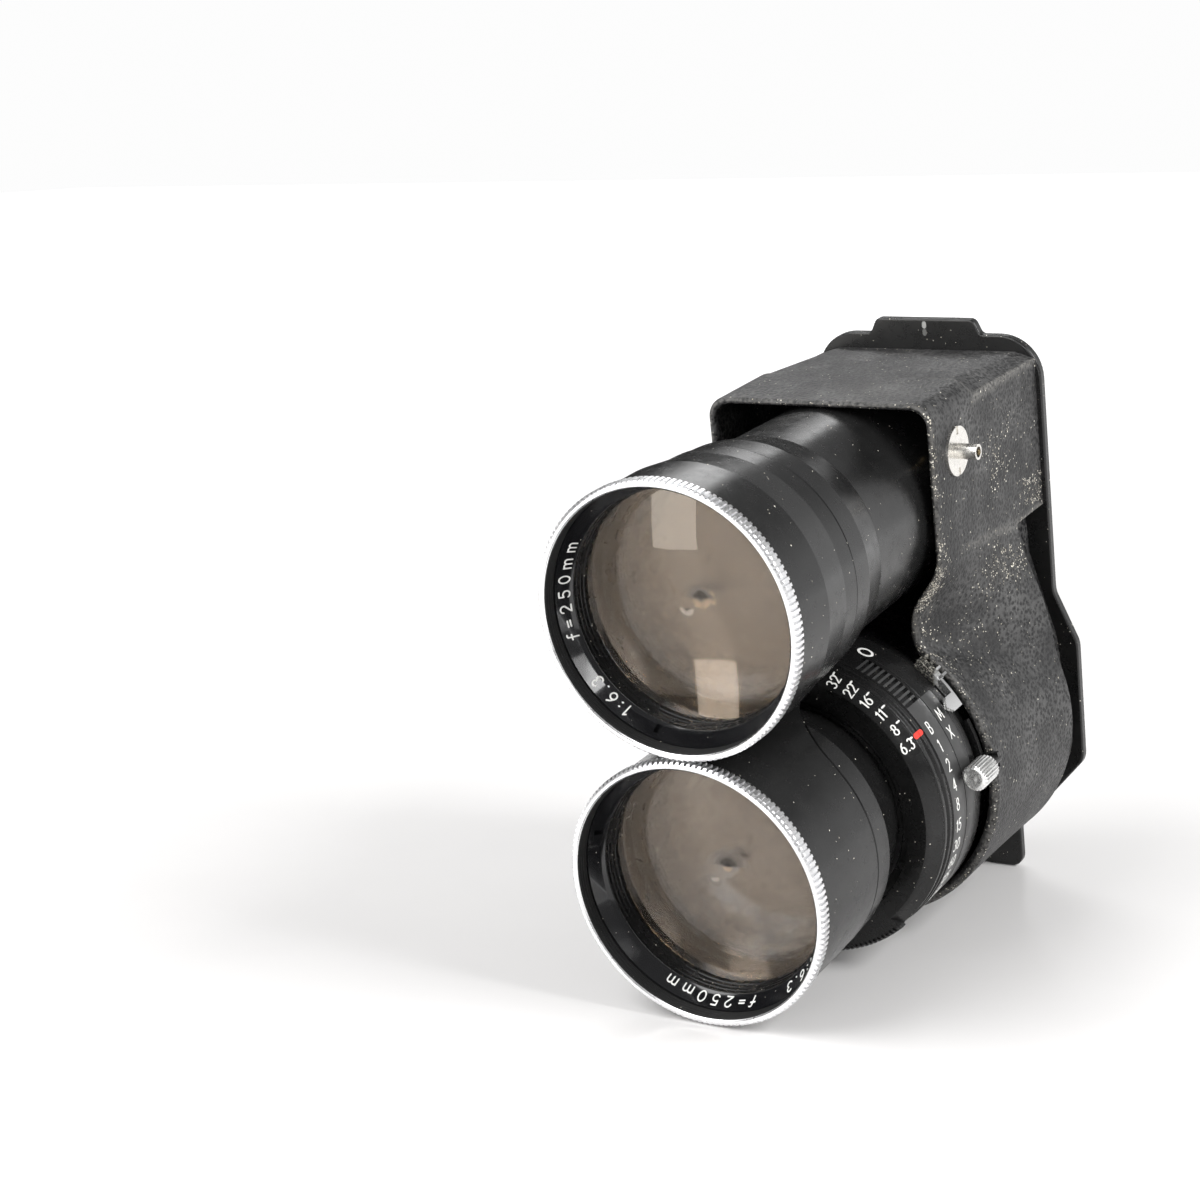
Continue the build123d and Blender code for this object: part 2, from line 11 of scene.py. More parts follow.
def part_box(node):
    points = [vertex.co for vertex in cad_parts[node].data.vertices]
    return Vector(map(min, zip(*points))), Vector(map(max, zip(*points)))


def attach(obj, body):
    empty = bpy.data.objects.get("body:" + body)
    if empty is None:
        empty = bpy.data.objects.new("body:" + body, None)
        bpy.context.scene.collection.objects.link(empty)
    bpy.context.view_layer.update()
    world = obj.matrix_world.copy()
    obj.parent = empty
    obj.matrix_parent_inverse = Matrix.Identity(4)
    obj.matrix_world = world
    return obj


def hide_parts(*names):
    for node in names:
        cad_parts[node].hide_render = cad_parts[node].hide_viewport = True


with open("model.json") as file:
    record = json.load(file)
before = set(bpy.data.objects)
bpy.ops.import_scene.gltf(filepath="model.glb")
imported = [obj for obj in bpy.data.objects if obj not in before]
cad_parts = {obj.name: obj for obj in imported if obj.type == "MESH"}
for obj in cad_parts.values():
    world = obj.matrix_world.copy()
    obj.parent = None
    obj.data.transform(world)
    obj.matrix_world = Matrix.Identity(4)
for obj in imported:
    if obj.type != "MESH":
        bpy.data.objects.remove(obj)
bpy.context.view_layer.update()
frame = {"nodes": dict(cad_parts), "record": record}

MM = 0.001
ROOT = "lens_unit"


# ---------------------------------------------------------------- places, from the frame, in millimetres
def span(node):
    low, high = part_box(node)
    return [(low[k] / MM, high[k] / MM) for k in range(3)]


def front(node):
    return span(node)[1][0]


def back(node):
    return span(node)[1][1]


def radius(node):
    low, high = span(node)[0]
    return (high - low) / 2


VIEW_Z = sum(span("viewing_rim")[2]) / 2
RIM_R = radius("viewing_rim")
FRONT_Y = front("viewing_rim")
RIM_BACK = FRONT_Y + 2.6
NAME_FRONT = front("viewing_name_ring")
NAME_BACK = back("viewing_name_ring")
RETAIN_BACK = back("viewing_front_retainer")
FILTER_R = RIM_R - 1.3
GLASS_R = radius("viewing_front_crown")
SCALE_R = radius("speed_ring")
BOX_TOP = span("housing_shell")[2][1]


# ---------------------------------------------------------------- studio: camera, floor, lights
CAMERA_AT = Vector((0.2086, -0.4423, 0.1857))
CAMERA_AZIMUTH, CAMERA_ELEVATION, CAMERA_ROLL = 33.57, 18.37, -6.7
CAMERA_LENS = 75.1


def add_camera():
    azimuth, elevation = radians(CAMERA_AZIMUTH), radians(CAMERA_ELEVATION)
    back_way = Vector((sin(azimuth) * cos(elevation), -cos(azimuth) * cos(elevation), sin(elevation)))
    right = Vector((cos(azimuth), sin(azimuth), 0))
    up = back_way.cross(right)
    turn = Matrix.Rotation(radians(CAMERA_ROLL), 3, back_way)
    right, up = turn @ right, turn @ up
    data = bpy.data.cameras.new("camera")
    data.lens = CAMERA_LENS
    data.sensor_width = 36
    data.clip_start = 0.01
    camera = bpy.data.objects.new("camera", data)
    camera.matrix_world = Matrix.Translation(CAMERA_AT) @ Matrix((right, up, back_way)).transposed().to_4x4()
    bpy.context.scene.collection.objects.link(camera)
    bpy.context.scene.camera = camera


def area_light(name, place, aim, size, power, colour=(1, 1, 1)):
    data = bpy.data.lights.new(name, "AREA")
    data.shape = "RECTANGLE"
    data.size, data.size_y = size
    data.energy = power
    data.color = colour
    light = bpy.data.objects.new(name, data)
    light.visible_camera = False
    way = Vector(place) - Vector(aim)
    light.matrix_world = Matrix.Translation(place) @ way.to_track_quat("Z", "Y").to_matrix().to_4x4()
    bpy.context.scene.collection.objects.link(light)
    return light


def add_world():
    """A white sweep low behind the unit, dimmer overhead and on the camera's side."""
    world = bpy.data.worlds.new("studio")
    bpy.context.scene.world = world
    world.use_nodes = True
    tree = world.node_tree
    sky = tree.nodes["Background"]
    where = tree.nodes.new("ShaderNodeTexCoord")
    parts = tree.nodes.new("ShaderNodeSeparateXYZ")
    tree.links.new(where.outputs["Generated"], parts.inputs[0])
    behind = fit_range(tree, parts.outputs[1], -0.25, 0.50)
    low = fit_range(tree, parts.outputs[2], 0.42, 0.10)
    sweep = sums(tree, "MULTIPLY_ADD", sums(tree, "MULTIPLY", behind, low), 0.74, 0.24)
    tree.links.new(sweep, sky.inputs["Strength"])
    sky.inputs["Color"].default_value = (1, 1, 1, 1)


def add_flag(name, corners):
    """A black card that only reflections see, so that the barrels keep dark sides."""
    mesh = bpy.data.meshes.new(name)
    mesh.from_pydata(corners, [], [(0, 1, 2, 3)])
    material = bpy.data.materials.new(name)
    material.use_nodes = True
    shader = material.node_tree.nodes["Principled BSDF"]
    shader.inputs["Base Color"].default_value = (0.01, 0.01, 0.01, 1)
    shader.inputs["Roughness"].default_value = 1.0
    shader.inputs["Specular IOR Level"].default_value = 0.0
    mesh.materials.append(material)
    card = bpy.data.objects.new(name, mesh)
    card.visible_camera = False
    card.visible_diffuse = False
    card.visible_shadow = False
    card.visible_transmission = False
    bpy.context.scene.collection.objects.link(card)


# ---------------------------------------------------------------- material helpers
def start_material(name):
    material = bpy.data.materials.new(name)
    material.use_nodes = True
    tree = material.node_tree
    where = tree.nodes.new("ShaderNodeTexCoord").outputs["Object"]
    return material, tree, tree.nodes["Principled BSDF"], where


def feed(tree, socket, value):
    """Links value to a socket if it is a socket itself, or sets it."""
    if isinstance(value, bpy.types.NodeSocket):
        tree.links.new(value, socket)
    else:
        socket.default_value = value


def noise(tree, where, scale, detail=3.0, rough=0.6):
    node = tree.nodes.new("ShaderNodeTexNoise")
    node.inputs["Scale"].default_value = scale
    node.inputs["Detail"].default_value = detail
    node.inputs["Roughness"].default_value = rough
    tree.links.new(where, node.inputs["Vector"])
    return node.outputs["Fac"]


def cells(tree, where, scale):
    node = tree.nodes.new("ShaderNodeTexVoronoi")
    node.inputs["Scale"].default_value = scale
    tree.links.new(where, node.inputs["Vector"])
    return node.outputs["Distance"], node.outputs["Color"]


def sums(tree, operation, a, b=0.0, c=0.0):
    node = tree.nodes.new("ShaderNodeMath")
    node.operation = operation
    for socket, value in zip(node.inputs, (a, b, c)):
        feed(tree, socket, value)
    return node.outputs[0]


def fit_range(tree, value, low, high, to_low=0.0, to_high=1.0):
    node = tree.nodes.new("ShaderNodeMapRange")
    for name, setting in (("Value", value), ("From Min", low), ("From Max", high), ("To Min", to_low),
                          ("To Max", to_high)):
        feed(tree, node.inputs[name], setting)
    return node.outputs["Result"]


def blend_colour(tree, factor, a, b):
    node = tree.nodes.new("ShaderNodeMix")
    node.data_type = "RGBA"
    feed(tree, node.inputs["Factor"], factor)
    feed(tree, node.inputs["A"], (*a, 1) if isinstance(a, tuple) else a)
    feed(tree, node.inputs["B"], (*b, 1) if isinstance(b, tuple) else b)
    return node.outputs["Result"]


def blend_value(tree, factor, a, b):
    node = tree.nodes.new("ShaderNodeMix")
    feed(tree, node.inputs["Factor"], factor)
    feed(tree, node.inputs["A"], a)
    feed(tree, node.inputs["B"], b)
    return node.outputs["Result"]


def bump(tree, shader, height, distance, strength=1.0):
    node = tree.nodes.new("ShaderNodeBump")
    node.inputs["Distance"].default_value = distance
    node.inputs["Strength"].default_value = strength
    tree.links.new(height, node.inputs["Height"])
    tree.links.new(node.outputs["Normal"], shader.inputs["Normal"])


def specks(tree, where, density, scale, size=0.2):
    """1 on small dust grains: density is the share of cells that hold one, scale the cells per metre."""
    distance, colour = cells(tree, where, scale)
    parts = tree.nodes.new("ShaderNodeSeparateColor")
    tree.links.new(colour, parts.inputs[0])
    here = sums(tree, "LESS_THAN", parts.outputs[0], density)
    reach = sums(tree, "MULTIPLY_ADD", parts.outputs[1], size, size * 0.6)
    near = sums(tree, "LESS_THAN", distance, reach)
    return sums(tree, "MULTIPLY", here, near), parts.outputs[2]


DUST_DARK = (0.33, 0.30, 0.24)
DUST_LIGHT = (0.80, 0.77, 0.68)


def dusted(tree, shader, where, base, rough, density, scale=2300, size=0.2):
    """Lays dust grains over a base colour and roughness."""
    grain, tone = specks(tree, where, density, scale, size)
    dust = blend_colour(tree, tone, DUST_DARK, DUST_LIGHT)
    feed(tree, shader.inputs["Base Color"], blend_colour(tree, grain, base, dust))
    feed(tree, shader.inputs["Roughness"], blend_value(tree, grain, rough, 0.9))
    return grain


# ---------------------------------------------------------------- materials
def satin_black(name, tone=0.010, rough=(0.20, 0.29), density=0.012, grain_scale=2300, shine=0.42):
    """Satin black anodised barrel: faint mottling, fine tooth and a few grains of dust."""
    material, tree, shader, where = start_material(name)
    mottle = noise(tree, where, 90, 4)
    base = blend_colour(tree, fit_range(tree, mottle, 0.35, 0.65), (tone * 0.8,) * 3, (tone * 1.25,) * 3)
    roughness = fit_range(tree, noise(tree, where, 420, 3), 0.3, 0.7, *rough)
    grain = dusted(tree, shader, where, base, roughness, density, grain_scale)
    tooth = noise(tree, where, 5200, 2)
    bump(tree, shader, sums(tree, "ADD", tooth, sums(tree, "MULTIPLY", grain, 3.0)), 0.000004, 0.3)
    shader.inputs["Specular IOR Level"].default_value = shine
    return material


def gloss_black():
    material, tree, shader, where = start_material("gloss_black")
    smear = noise(tree, where, 160, 4)
    roughness = fit_range(tree, smear, 0.3, 0.7, 0.07, 0.17)
    dusted(tree, shader, where, (0.008, 0.008, 0.009), roughness, 0.008, 2600, 0.14)
    shader.inputs["Coat Weight"].default_value = 0.3
    return material


def crinkle_black(name, dust_attribute=None, wear_and_highlight_attribute=None, density=0.02):
    """Crinkle paint. Dust gathers where the mesh's attributes say, and so do pale edge lines that are partly
    rubbed paint and partly painted highlight.
    """
    material, tree, shader, where = start_material(name)
    amount, wear_and_highlight = density, 0.0
    if dust_attribute:
        reader = tree.nodes.new("ShaderNodeAttribute")
        reader.attribute_name = dust_attribute
        amount = reader.outputs["Fac"]
    if wear_and_highlight_attribute:
        reader = tree.nodes.new("ShaderNodeAttribute")
        reader.attribute_name = wear_and_highlight_attribute
        wear_and_highlight = reader.outputs["Fac"]
    wrinkle = noise(tree, where, 1500, 3, 0.6)
    folds, _ = cells(tree, where, 1250)
    relief = sums(tree, "MULTIPLY_ADD", folds, 0.8, wrinkle)
    peaks = fit_range(tree, relief, 0.70, 1.02)
    patch = fit_range(tree, noise(tree, where, 75, 5), 0.38, 0.68)
    worn = sums(tree, "MULTIPLY", peaks, sums(tree, "MULTIPLY_ADD", patch, 0.85, 0.12))
    base = blend_colour(tree, worn, (0.0060, 0.0060, 0.0065), (0.090, 0.089, 0.088))
    # Painted highlight mixed with real rubbing: pale lines on the front lip, roof crease, side bevels and
    # side creases.
    rubbed_or_highlit = sums(tree, "MULTIPLY", wear_and_highlight, fit_range(tree, wrinkle, 0.35, 0.62))
    base = blend_colour(tree, rubbed_or_highlit, base, (0.26, 0.25, 0.23))
    haze = sums(tree, "MULTIPLY", amount, fit_range(tree, noise(tree, where, 420, 4), 0.42, 0.72))
    base = blend_colour(tree, sums(tree, "MULTIPLY", haze, 0.14), base, (0.34, 0.32, 0.27))
    clump = sums(tree, "MULTIPLY", amount,
                 fit_range(tree, noise(tree, where, 430, 3), 0.43, 0.62, 0.05, 1.9))
    roughness = fit_range(tree, wrinkle, 0.3, 0.7, 0.42, 0.60)
    grain = dusted(tree, shader, where, base, roughness, clump, 2900, 0.36)
    bump(tree, shader, sums(tree, "MULTIPLY_ADD", grain, 0.9, relief), 0.00022, 0.85)
    shader.inputs["Specular IOR Level"].default_value = 0.40
    return material


def bright_metal(name, tone=(0.80, 0.79, 0.77), rough=(0.18, 0.34), stain=0.25):
    """Satin chrome or aluminium with faint stains and scratches."""
    material, tree, shader, where = start_material(name)
    blot = fit_range(tree, noise(tree, where, 700, 5, 0.7), 0.5, 0.72)
    dirt = tuple(0.45 * channel for channel in tone)
    base = blend_colour(tree, sums(tree, "MULTIPLY", blot, stain), tone, dirt)
    feed(tree, shader.inputs["Base Color"], base)
    feed(tree, shader.inputs["Roughness"], fit_range(tree, noise(tree, where, 900, 4), 0.3, 0.7, *rough))
    shader.inputs["Metallic"].default_value = 1.0
    bump(tree, shader, noise(tree, where, 6000, 2), 0.000006, 0.3)
    return material


def dusty_lever():
    """The sync lever: bright at its tip, thick with dust at its root, which is nearer the middle plane."""
    material, tree, shader, where = start_material("lever_metal")
    parts = tree.nodes.new("ShaderNodeSeparateXYZ")
    tree.links.new(where, parts.inputs[0])
    low, high = span("sync_lever")[0]
    root_end = low + 0.5 * (high - low)
    near = fit_range(tree, parts.outputs[0], (root_end + 0.6) * MM, (root_end - 0.4) * MM)
    crumbs = fit_range(tree, noise(tree, where, 2300, 4, 0.75), 0.50, 0.60)
    cover = sums(tree, "MULTIPLY", near, crumbs)
    dust = blend_colour(tree, fit_range(tree, noise(tree, where, 3900, 2), 0.35, 0.65), DUST_DARK,
                        DUST_LIGHT)
    metal = blend_colour(tree, near, (0.86, 0.86, 0.86), (0.035, 0.035, 0.033))
    feed(tree, shader.inputs["Base Color"], blend_colour(tree, cover, metal, dust))
    feed(tree, shader.inputs["Roughness"], blend_value(tree, near, 0.22, 0.85))
    feed(tree, shader.inputs["Metallic"], sums(tree, "SUBTRACT", 1.0, near))
    bump(tree, shader, cover, 0.0003, 0.8)
    return material


def glass(name, tint, ior, haze):
    """Clear glass. The tint is its coating's, which only colours reflections."""
    material, tree, shader, where = start_material(name)
    shader.inputs["Base Color"].default_value = (1, 1, 1, 1)
    shader.inputs["Transmission Weight"].default_value = 1.0
    shader.inputs["IOR"].default_value = ior
    shader.inputs["Specular Tint"].default_value = (*tint, 1)
    smear = noise(tree, where, 260, 4)
    feed(tree, shader.inputs["Roughness"], fit_range(tree, smear, 0.4, 0.8, haze, haze + 0.015))
    return material


def paint(name, colour, rough=0.45):
    """Paint in the engraving: slightly uneven."""
    material, tree, shader, where = start_material(name)
    worn = fit_range(tree, noise(tree, where, 2400, 4, 0.7), 0.55, 0.8)
    darker = tuple(0.6 * channel for channel in colour)
    feed(tree, shader.inputs["Base Color"], blend_colour(tree, worn, colour, darker))
    shader.inputs["Roughness"].default_value = rough
    return material


def brushed(name, tone, rough=0.35):
    material, tree, shader, where = start_material(name)
    grain = noise(tree, where, 1800, 3)
    darker = tuple(0.7 * channel for channel in tone)
    feed(tree, shader.inputs["Base Color"], blend_colour(tree, grain, darker, tone))
    feed(tree, shader.inputs["Roughness"], fit_range(tree, grain, 0.3, 0.7, rough - 0.08, rough + 0.08))
    shader.inputs["Metallic"].default_value = 1.0
    bump(tree, shader, grain, 0.00001, 0.3)
    return material


def felt():
    material, tree, shader, where = start_material("felt")
    fibre = noise(tree, where, 4200, 5, 0.75)
    feed(tree, shader.inputs["Base Color"],
         blend_colour(tree, fibre, (0.006, 0.006, 0.007), (0.05, 0.05, 0.05)))
    shader.inputs["Roughness"].default_value = 0.95
    shader.inputs["Sheen Weight"].default_value = 0.4
    bump(tree, shader, fibre, 0.0002, 0.8)
    return material


def floor_white_glowing_far():
    material, tree, shader, where = start_material("floor_white_glowing_far")
    parts = tree.nodes.new("ShaderNodeVectorMath")
    parts.operation = "LENGTH"
    tree.links.new(where, parts.inputs[0])
    # Painted light: away from the unit the floor turns paler and glows, fading into the white backdrop.
    far = fit_range(tree, parts.outputs["Value"], 0.35, 1.5)
    mottle = noise(tree, where, 30, 2)
    near_tone = blend_colour(tree, mottle, (0.80, 0.79, 0.785), (0.83, 0.82, 0.815))
    feed(tree, shader.inputs["Base Color"], blend_colour(tree, far, near_tone, (0.97, 0.97, 0.97)))
    shader.inputs["Roughness"].default_value = 0.22
    shader.inputs["Specular IOR Level"].default_value = 0.12
    shader.inputs["Emission Color"].default_value = (1, 1, 1, 1)
    feed(tree, shader.inputs["Emission Strength"], sums(tree, "MULTIPLY", far, 0.8))
    return material


HOUSING_PAINT = crinkle_black("housing_paint", dust_attribute="dust", wear_and_highlight_attribute="wear_and_highlight")
BARREL = satin_black("barrel_black")
BOARD_BLACK = satin_black("board_black", tone=0.010, rough=(0.24, 0.34), density=0.03)
MATT = satin_black("matt_black", tone=0.008, rough=(0.5, 0.65), density=0.004, shine=0.25)
RING_BLACK = satin_black("ring_black", tone=0.008, rough=(0.22, 0.32), density=0.02, shine=0.35)
# Paler black of the scale plates, also used as painted highlight on the grip rib tops.
PLATE_AND_RIB_HIGHLIGHT = satin_black("plate_and_rib_highlight_black", tone=0.042, rough=(0.30, 0.40), density=0.03, shine=0.5)
GLOSS = gloss_black()
RIM = bright_metal("rim_aluminium", (0.90, 0.90, 0.91), (0.24, 0.36), 0.12)
CHROME = bright_metal("bright_metal", (0.80, 0.78, 0.74))
KNOB = bright_metal("knob_metal", (0.90, 0.90, 0.89), (0.20, 0.32), 0.10)
LEVER = dusty_lever()
FRONT_GLASS = glass("front_glass", (1.0, 0.96, 0.91), 1.42, 0.0)
INNER_GLASS = glass("coated_glass", (1.0, 0.68, 0.40), 1.44, 0.1)
WHITE = paint("white_paint", (0.86, 0.86, 0.83))
RED = paint("red_paint", (0.78, 0.045, 0.03), 0.4)
GREY_MARK = paint("grey_mark", (0.36, 0.36, 0.35), 0.6)
DIM_MARK = paint("dim_mark", (0.12, 0.12, 0.115), 0.6)

SLOT_MATERIALS = {
    "crinkle_black": HOUSING_PAINT,
    "anodised_black": BARREL,
    "gloss_black": GLOSS,
    "rim_aluminium": RIM,
    "bright_metal": CHROME,
    "steel": brushed("steel", (0.5, 0.5, 0.51)),
    "blade_steel": brushed("blade_steel", (0.10, 0.10, 0.115), 0.3),
    "brass": brushed("brass", (0.72, 0.55, 0.28)),
    "black_plastic": satin_black("black_plastic", tone=0.02, rough=(0.4, 0.5)),
    "felt": felt(),
    "coated_glass": INNER_GLASS,
}
NODE_MATERIALS = {
    "sync_lever": LEVER,
    "lens_board": BOARD_BLACK,
    "viewing_front_crown": FRONT_GLASS,
    "taking_front_crown": FRONT_GLASS,
}


def dress_frame():
    """Gives every CAD node the material of its slot."""
    for entry in frame["record"]["subparts"]:
        node = frame["nodes"][entry["node"]]
        material = NODE_MATERIALS.get(entry["node"], SLOT_MATERIALS[entry["material_slot"]])
        node.data.materials.clear()
        node.data.materials.append(material)


# ---------------------------------------------------------------- mesh helpers
def piece(name, points, faces, material, body, stands_for=(), slot=None, kinds=None, sharp=32, closed=True):
    """A mesh piece from points in millimetres. kinds gives each face's place in a list of materials."""
    mesh = bpy.data.meshes.new(name)
    mesh.from_pydata([tuple(c * MM for c in p) for p in points], [], faces)
    for entry in material if isinstance(material, list) else [material]:
        mesh.materials.append(entry)
    if kinds:
        mesh.polygons.foreach_set("material_index", kinds)
    if closed:
        shape = bmesh.new()
        shape.from_mesh(mesh)
        bmesh.ops.recalc_face_normals(shape, faces=shape.faces)
        shape.to_mesh(mesh)
        shape.free()
    mesh.shade_smooth()
    mesh.set_sharp_from_angle(angle=radians(sharp))
    item = bpy.data.objects.new(name, mesh)
    bpy.context.scene.collection.objects.link(item)
    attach(item, body)
    if stands_for:
        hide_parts(*stands_for)
    return item


def soften(outline, size=0.12):
    """Rounds the corners of a closed (y, r) outline."""
    rounded = []
    count = len(outline)
    for k, (y, r) in enumerate(outline):
        here = Vector((y, r))
        before, after = Vector(outline[k - 1]) - here, Vector(outline[(k + 1) % count]) - here
        if before.angle(after) > radians(172):
            rounded.append((y, r))
            continue
        near, far = here.copy(), here.copy()
        near += before.normalized() * min(size, 0.4 * before.length)
        far += after.normalized() * min(size, 0.4 * after.length)
        middle = 0.25 * near + 0.5 * here + 0.25 * far
        rounded += [tuple(near), tuple(middle), tuple(far)]
    return rounded


def even(count):
    return [360 * k / count for k in range(count)]


def steps_at(edges, width=0.06, count=180):
    """Even angles, with a close pair at each edge angle so that a step there is crisp."""
    angles = set(round(a, 4) for a in even(count))
    for edge in edges:
        angles |= {round((edge - width) % 360, 4), round((edge + width) % 360, 4)}
    return sorted(angles)


def lathe(name, outline, material, body=ROOT, axis_z=0.0, axis_x=0.0, angles=None, relief=None,
          kind=None, **settings):
    """Turns a closed (y, r) outline about the lens axis. relief(y, r, angle) may move each point."""
    angles = angles or even(200)
    points = []
    for angle in angles:
        a = radians(angle)
        for y, r in outline:
            if relief:
                y, r = relief(y, r, angle)
            points.append((axis_x + r * sin(a), y, axis_z + r * cos(a)))
    n, faces, kinds = len(outline), [], []
    for i in range(len(angles)):
        j = (i + 1) % len(angles)
        for k in range(n):
            m = (k + 1) % n
            faces.append((i * n + k, i * n + m, j * n + m, j * n + k))
            kinds.append(kind(outline[k], outline[m]) if kind else 0)
    return piece(name, points, faces, material, body, kinds=kinds if kind else None, **settings)


def arc_plate(name, y0, y1, r_in, r_out, start, end, material, body, **settings):
    """A thin curved plate between two clock angles."""
    count = max(2, round((end - start) / 1.5))
    corners = soften([(y0, r_in), (y0, r_out), (y1, r_out), (y1, r_in)], 0.05)
    points = []
    for k in range(count + 1):
        a = radians(start + (end - start) * k / count)
        points += [(r * sin(a), y, r * cos(a)) for y, r in corners]
    n = len(corners)
    faces = [tuple(range(n)), tuple(count * n + k for k in reversed(range(n)))]
    for i in range(count):
        for k in range(n):
            m = (k + 1) % n
            faces.append((i * n + k, i * n + m, (i + 1) * n + m, (i + 1) * n + k))
    return piece(name, points, faces, material, body, **settings)


def smooth_through(points, x):
    """Monotone cubic through (x, y) points."""
    if x <= points[0][0]:
        return points[0][1]
    for (x0, y0), (x1, y1) in zip(points, points[1:]):
        if x <= x1:
            k = points.index((x0, y0))
            slope = (y1 - y0) / (x1 - x0)
            before = (y0 - points[k - 1][1]) / (x0 - points[k - 1][0]) if k else slope
            after = slope
            if k + 2 < len(points):
                after = (points[k + 2][1] - y1) / (points[k + 2][0] - x1)
            m0, m1 = (before + slope) / 2, (slope + after) / 2
            t = (x - x0) / (x1 - x0)
            step = x1 - x0
            return ((2 * t**3 - 3 * t**2 + 1) * y0 + (t**3 - 2 * t**2 + t) * step * m0
                    + (3 * t**2 - 2 * t**3) * y1 + (t**3 - t**2) * step * m1)
    return points[-1][1]


# ---------------------------------------------------------------- lettering: painted engraved strokes
def arc(cx, cy, rx, ry, start, end, steps=10):
    angles = [radians(start + (end - start) * k / steps) for k in range(steps + 1)]
    return [(cx + rx * cos(a), cy + ry * sin(a)) for a in angles]


GLYPHS = {
    "0": (0.60, [arc(0.30, 0.5, 0.30, 0.5, 90, 450, 20)]),
    "1": (0.26, [[(0.0, 0.80), (0.20, 1.0), (0.20, 0.0)]]),
    "2": (0.56, [arc(0.28, 0.71, 0.27, 0.29, 170, -38) + [(0.0, 0.0), (0.57, 0.0)]]),
    "3": (0.55, [arc(0.26, 0.75, 0.24, 0.25, 150, -75) + arc(0.26, 0.27, 0.28, 0.27, 75, -150)]),
    "4": (0.60, [[(0.44, 0.0), (0.44, 1.0), (0.0, 0.30), (0.60, 0.30)]]),
    "5": (0.55, [[(0.50, 1.0), (0.09, 1.0), (0.05, 0.55)] + arc(0.26, 0.32, 0.29, 0.32, 118, -150)]),
    "6": (0.57, [[(0.46, 0.98), (0.24, 0.80), (0.06, 0.50)] + arc(0.29, 0.30, 0.28, 0.30, 150, 510, 18)]),
    "8": (0.56, [arc(0.28, 0.76, 0.22, 0.24, -90, 270, 16), arc(0.28, 0.26, 0.28, 0.26, 90, 450, 16)]),
    ".": (0.14, [[(0.04, 0.04), (0.10, 0.04)]]),
    ":": (0.14, [[(0.04, 0.16), (0.10, 0.16)], [(0.04, 0.62), (0.10, 0.62)]]),
    "=": (0.52, [[(0.0, 0.34), (0.50, 0.34)], [(0.0, 0.60), (0.50, 0.60)]]),
    "f": (0.46, [arc(0.50, 0.84, 0.16, 0.16, 60, 180, 6) + [(0.20, 0.0)]
                 + arc(0.06, -0.06, 0.13, 0.14, 10, -130, 6),
                 [(0.08, 0.58), (0.50, 0.58)]]),
    "m": (0.86, [[(0.0, 0.0), (0.0, 0.66)], [(0.0, 0.44)] + arc(0.20, 0.44, 0.20, 0.22, 150, 0, 8)
                 + [(0.40, 0.0)],
                 [(0.40, 0.44)] + arc(0.61, 0.44, 0.21, 0.22, 150, 0, 8) + [(0.82, 0.0)]]),
    "B": (0.55, [[(0.0, 0.0), (0.0, 1.0)] + arc(0.26, 0.77, 0.22, 0.23, 90, -90, 8) + [(0.0, 0.54)],
                 [(0.26, 0.54)] + arc(0.27, 0.27, 0.27, 0.27, 90, -90, 8) + [(0.0, 0.0)]]),
    "M": (0.74, [[(0.0, 0.0), (0.06, 1.0), (0.37, 0.20), (0.68, 1.0), (0.74, 0.0)]]),
    "X": (0.62, [[(0.0, 0.0), (0.62, 1.0)], [(0.0, 1.0), (0.62, 0.0)]]),
    "O": (0.80, [arc(0.40, 0.5, 0.40, 0.5, 90, 450, 28)]),
}
LETTER_GAP = 0.26
PAINT_LIFT, PAINT_SINK = 0.018, 0.05


def resample(points, step):
    dense = [points[0]]
    for (x0, y0), (x1, y1) in zip(points, points[1:]):
        count = max(1, round(hypot(x1 - x0, y1 - y0) / step))
        dense += [(x0 + (x1 - x0) * k / count, y0 + (y1 - y0) * k / count) for k in range(1, count + 1)]
    return dense


def stroke_sections(points, width):
    """(centre, half width across) along a stroke, with rounded ends."""
    sections = []
    last = len(points) - 1
    for k, (x, y) in enumerate(points):
        x0, y0 = points[max(0, k - 1)]
        x1, y1 = points[min(last, k + 1)]
        length = hypot(x1 - x0, y1 - y0)
        along = ((x1 - x0) / length, (y1 - y0) / length)
        across = (-along[1] * width / 2, along[0] * width / 2)
        if k == 0:
            for a in (10, 45):
                s, c = sin(radians(a)), cos(radians(a)) * width / 2
                sections.append(((x - along[0] * c, y - along[1] * c), (across[0] * s, across[1] * s)))
        sections.append(((x, y), across))
        if k == last:
            for a in (45, 10):
                s, c = sin(radians(a)), cos(radians(a)) * width / 2
                sections.append(((x + along[0] * c, y + along[1] * c), (across[0] * s, across[1] * s)))
    return sections


def line_of_text(text, height, spread=1.0):
    """Strokes of a string in millimetres, starting at (0, 0), and the string's width."""
    strokes, at = [], 0.0
    for letter in text:
        width, shapes = GLYPHS[letter]
        for shape in shapes:
            strokes.append([((at + x * spread) * height, y * height) for x, y in shape])
        at += (width + LETTER_GAP) * spread
    return strokes, (at - LETTER_GAP * spread) * height


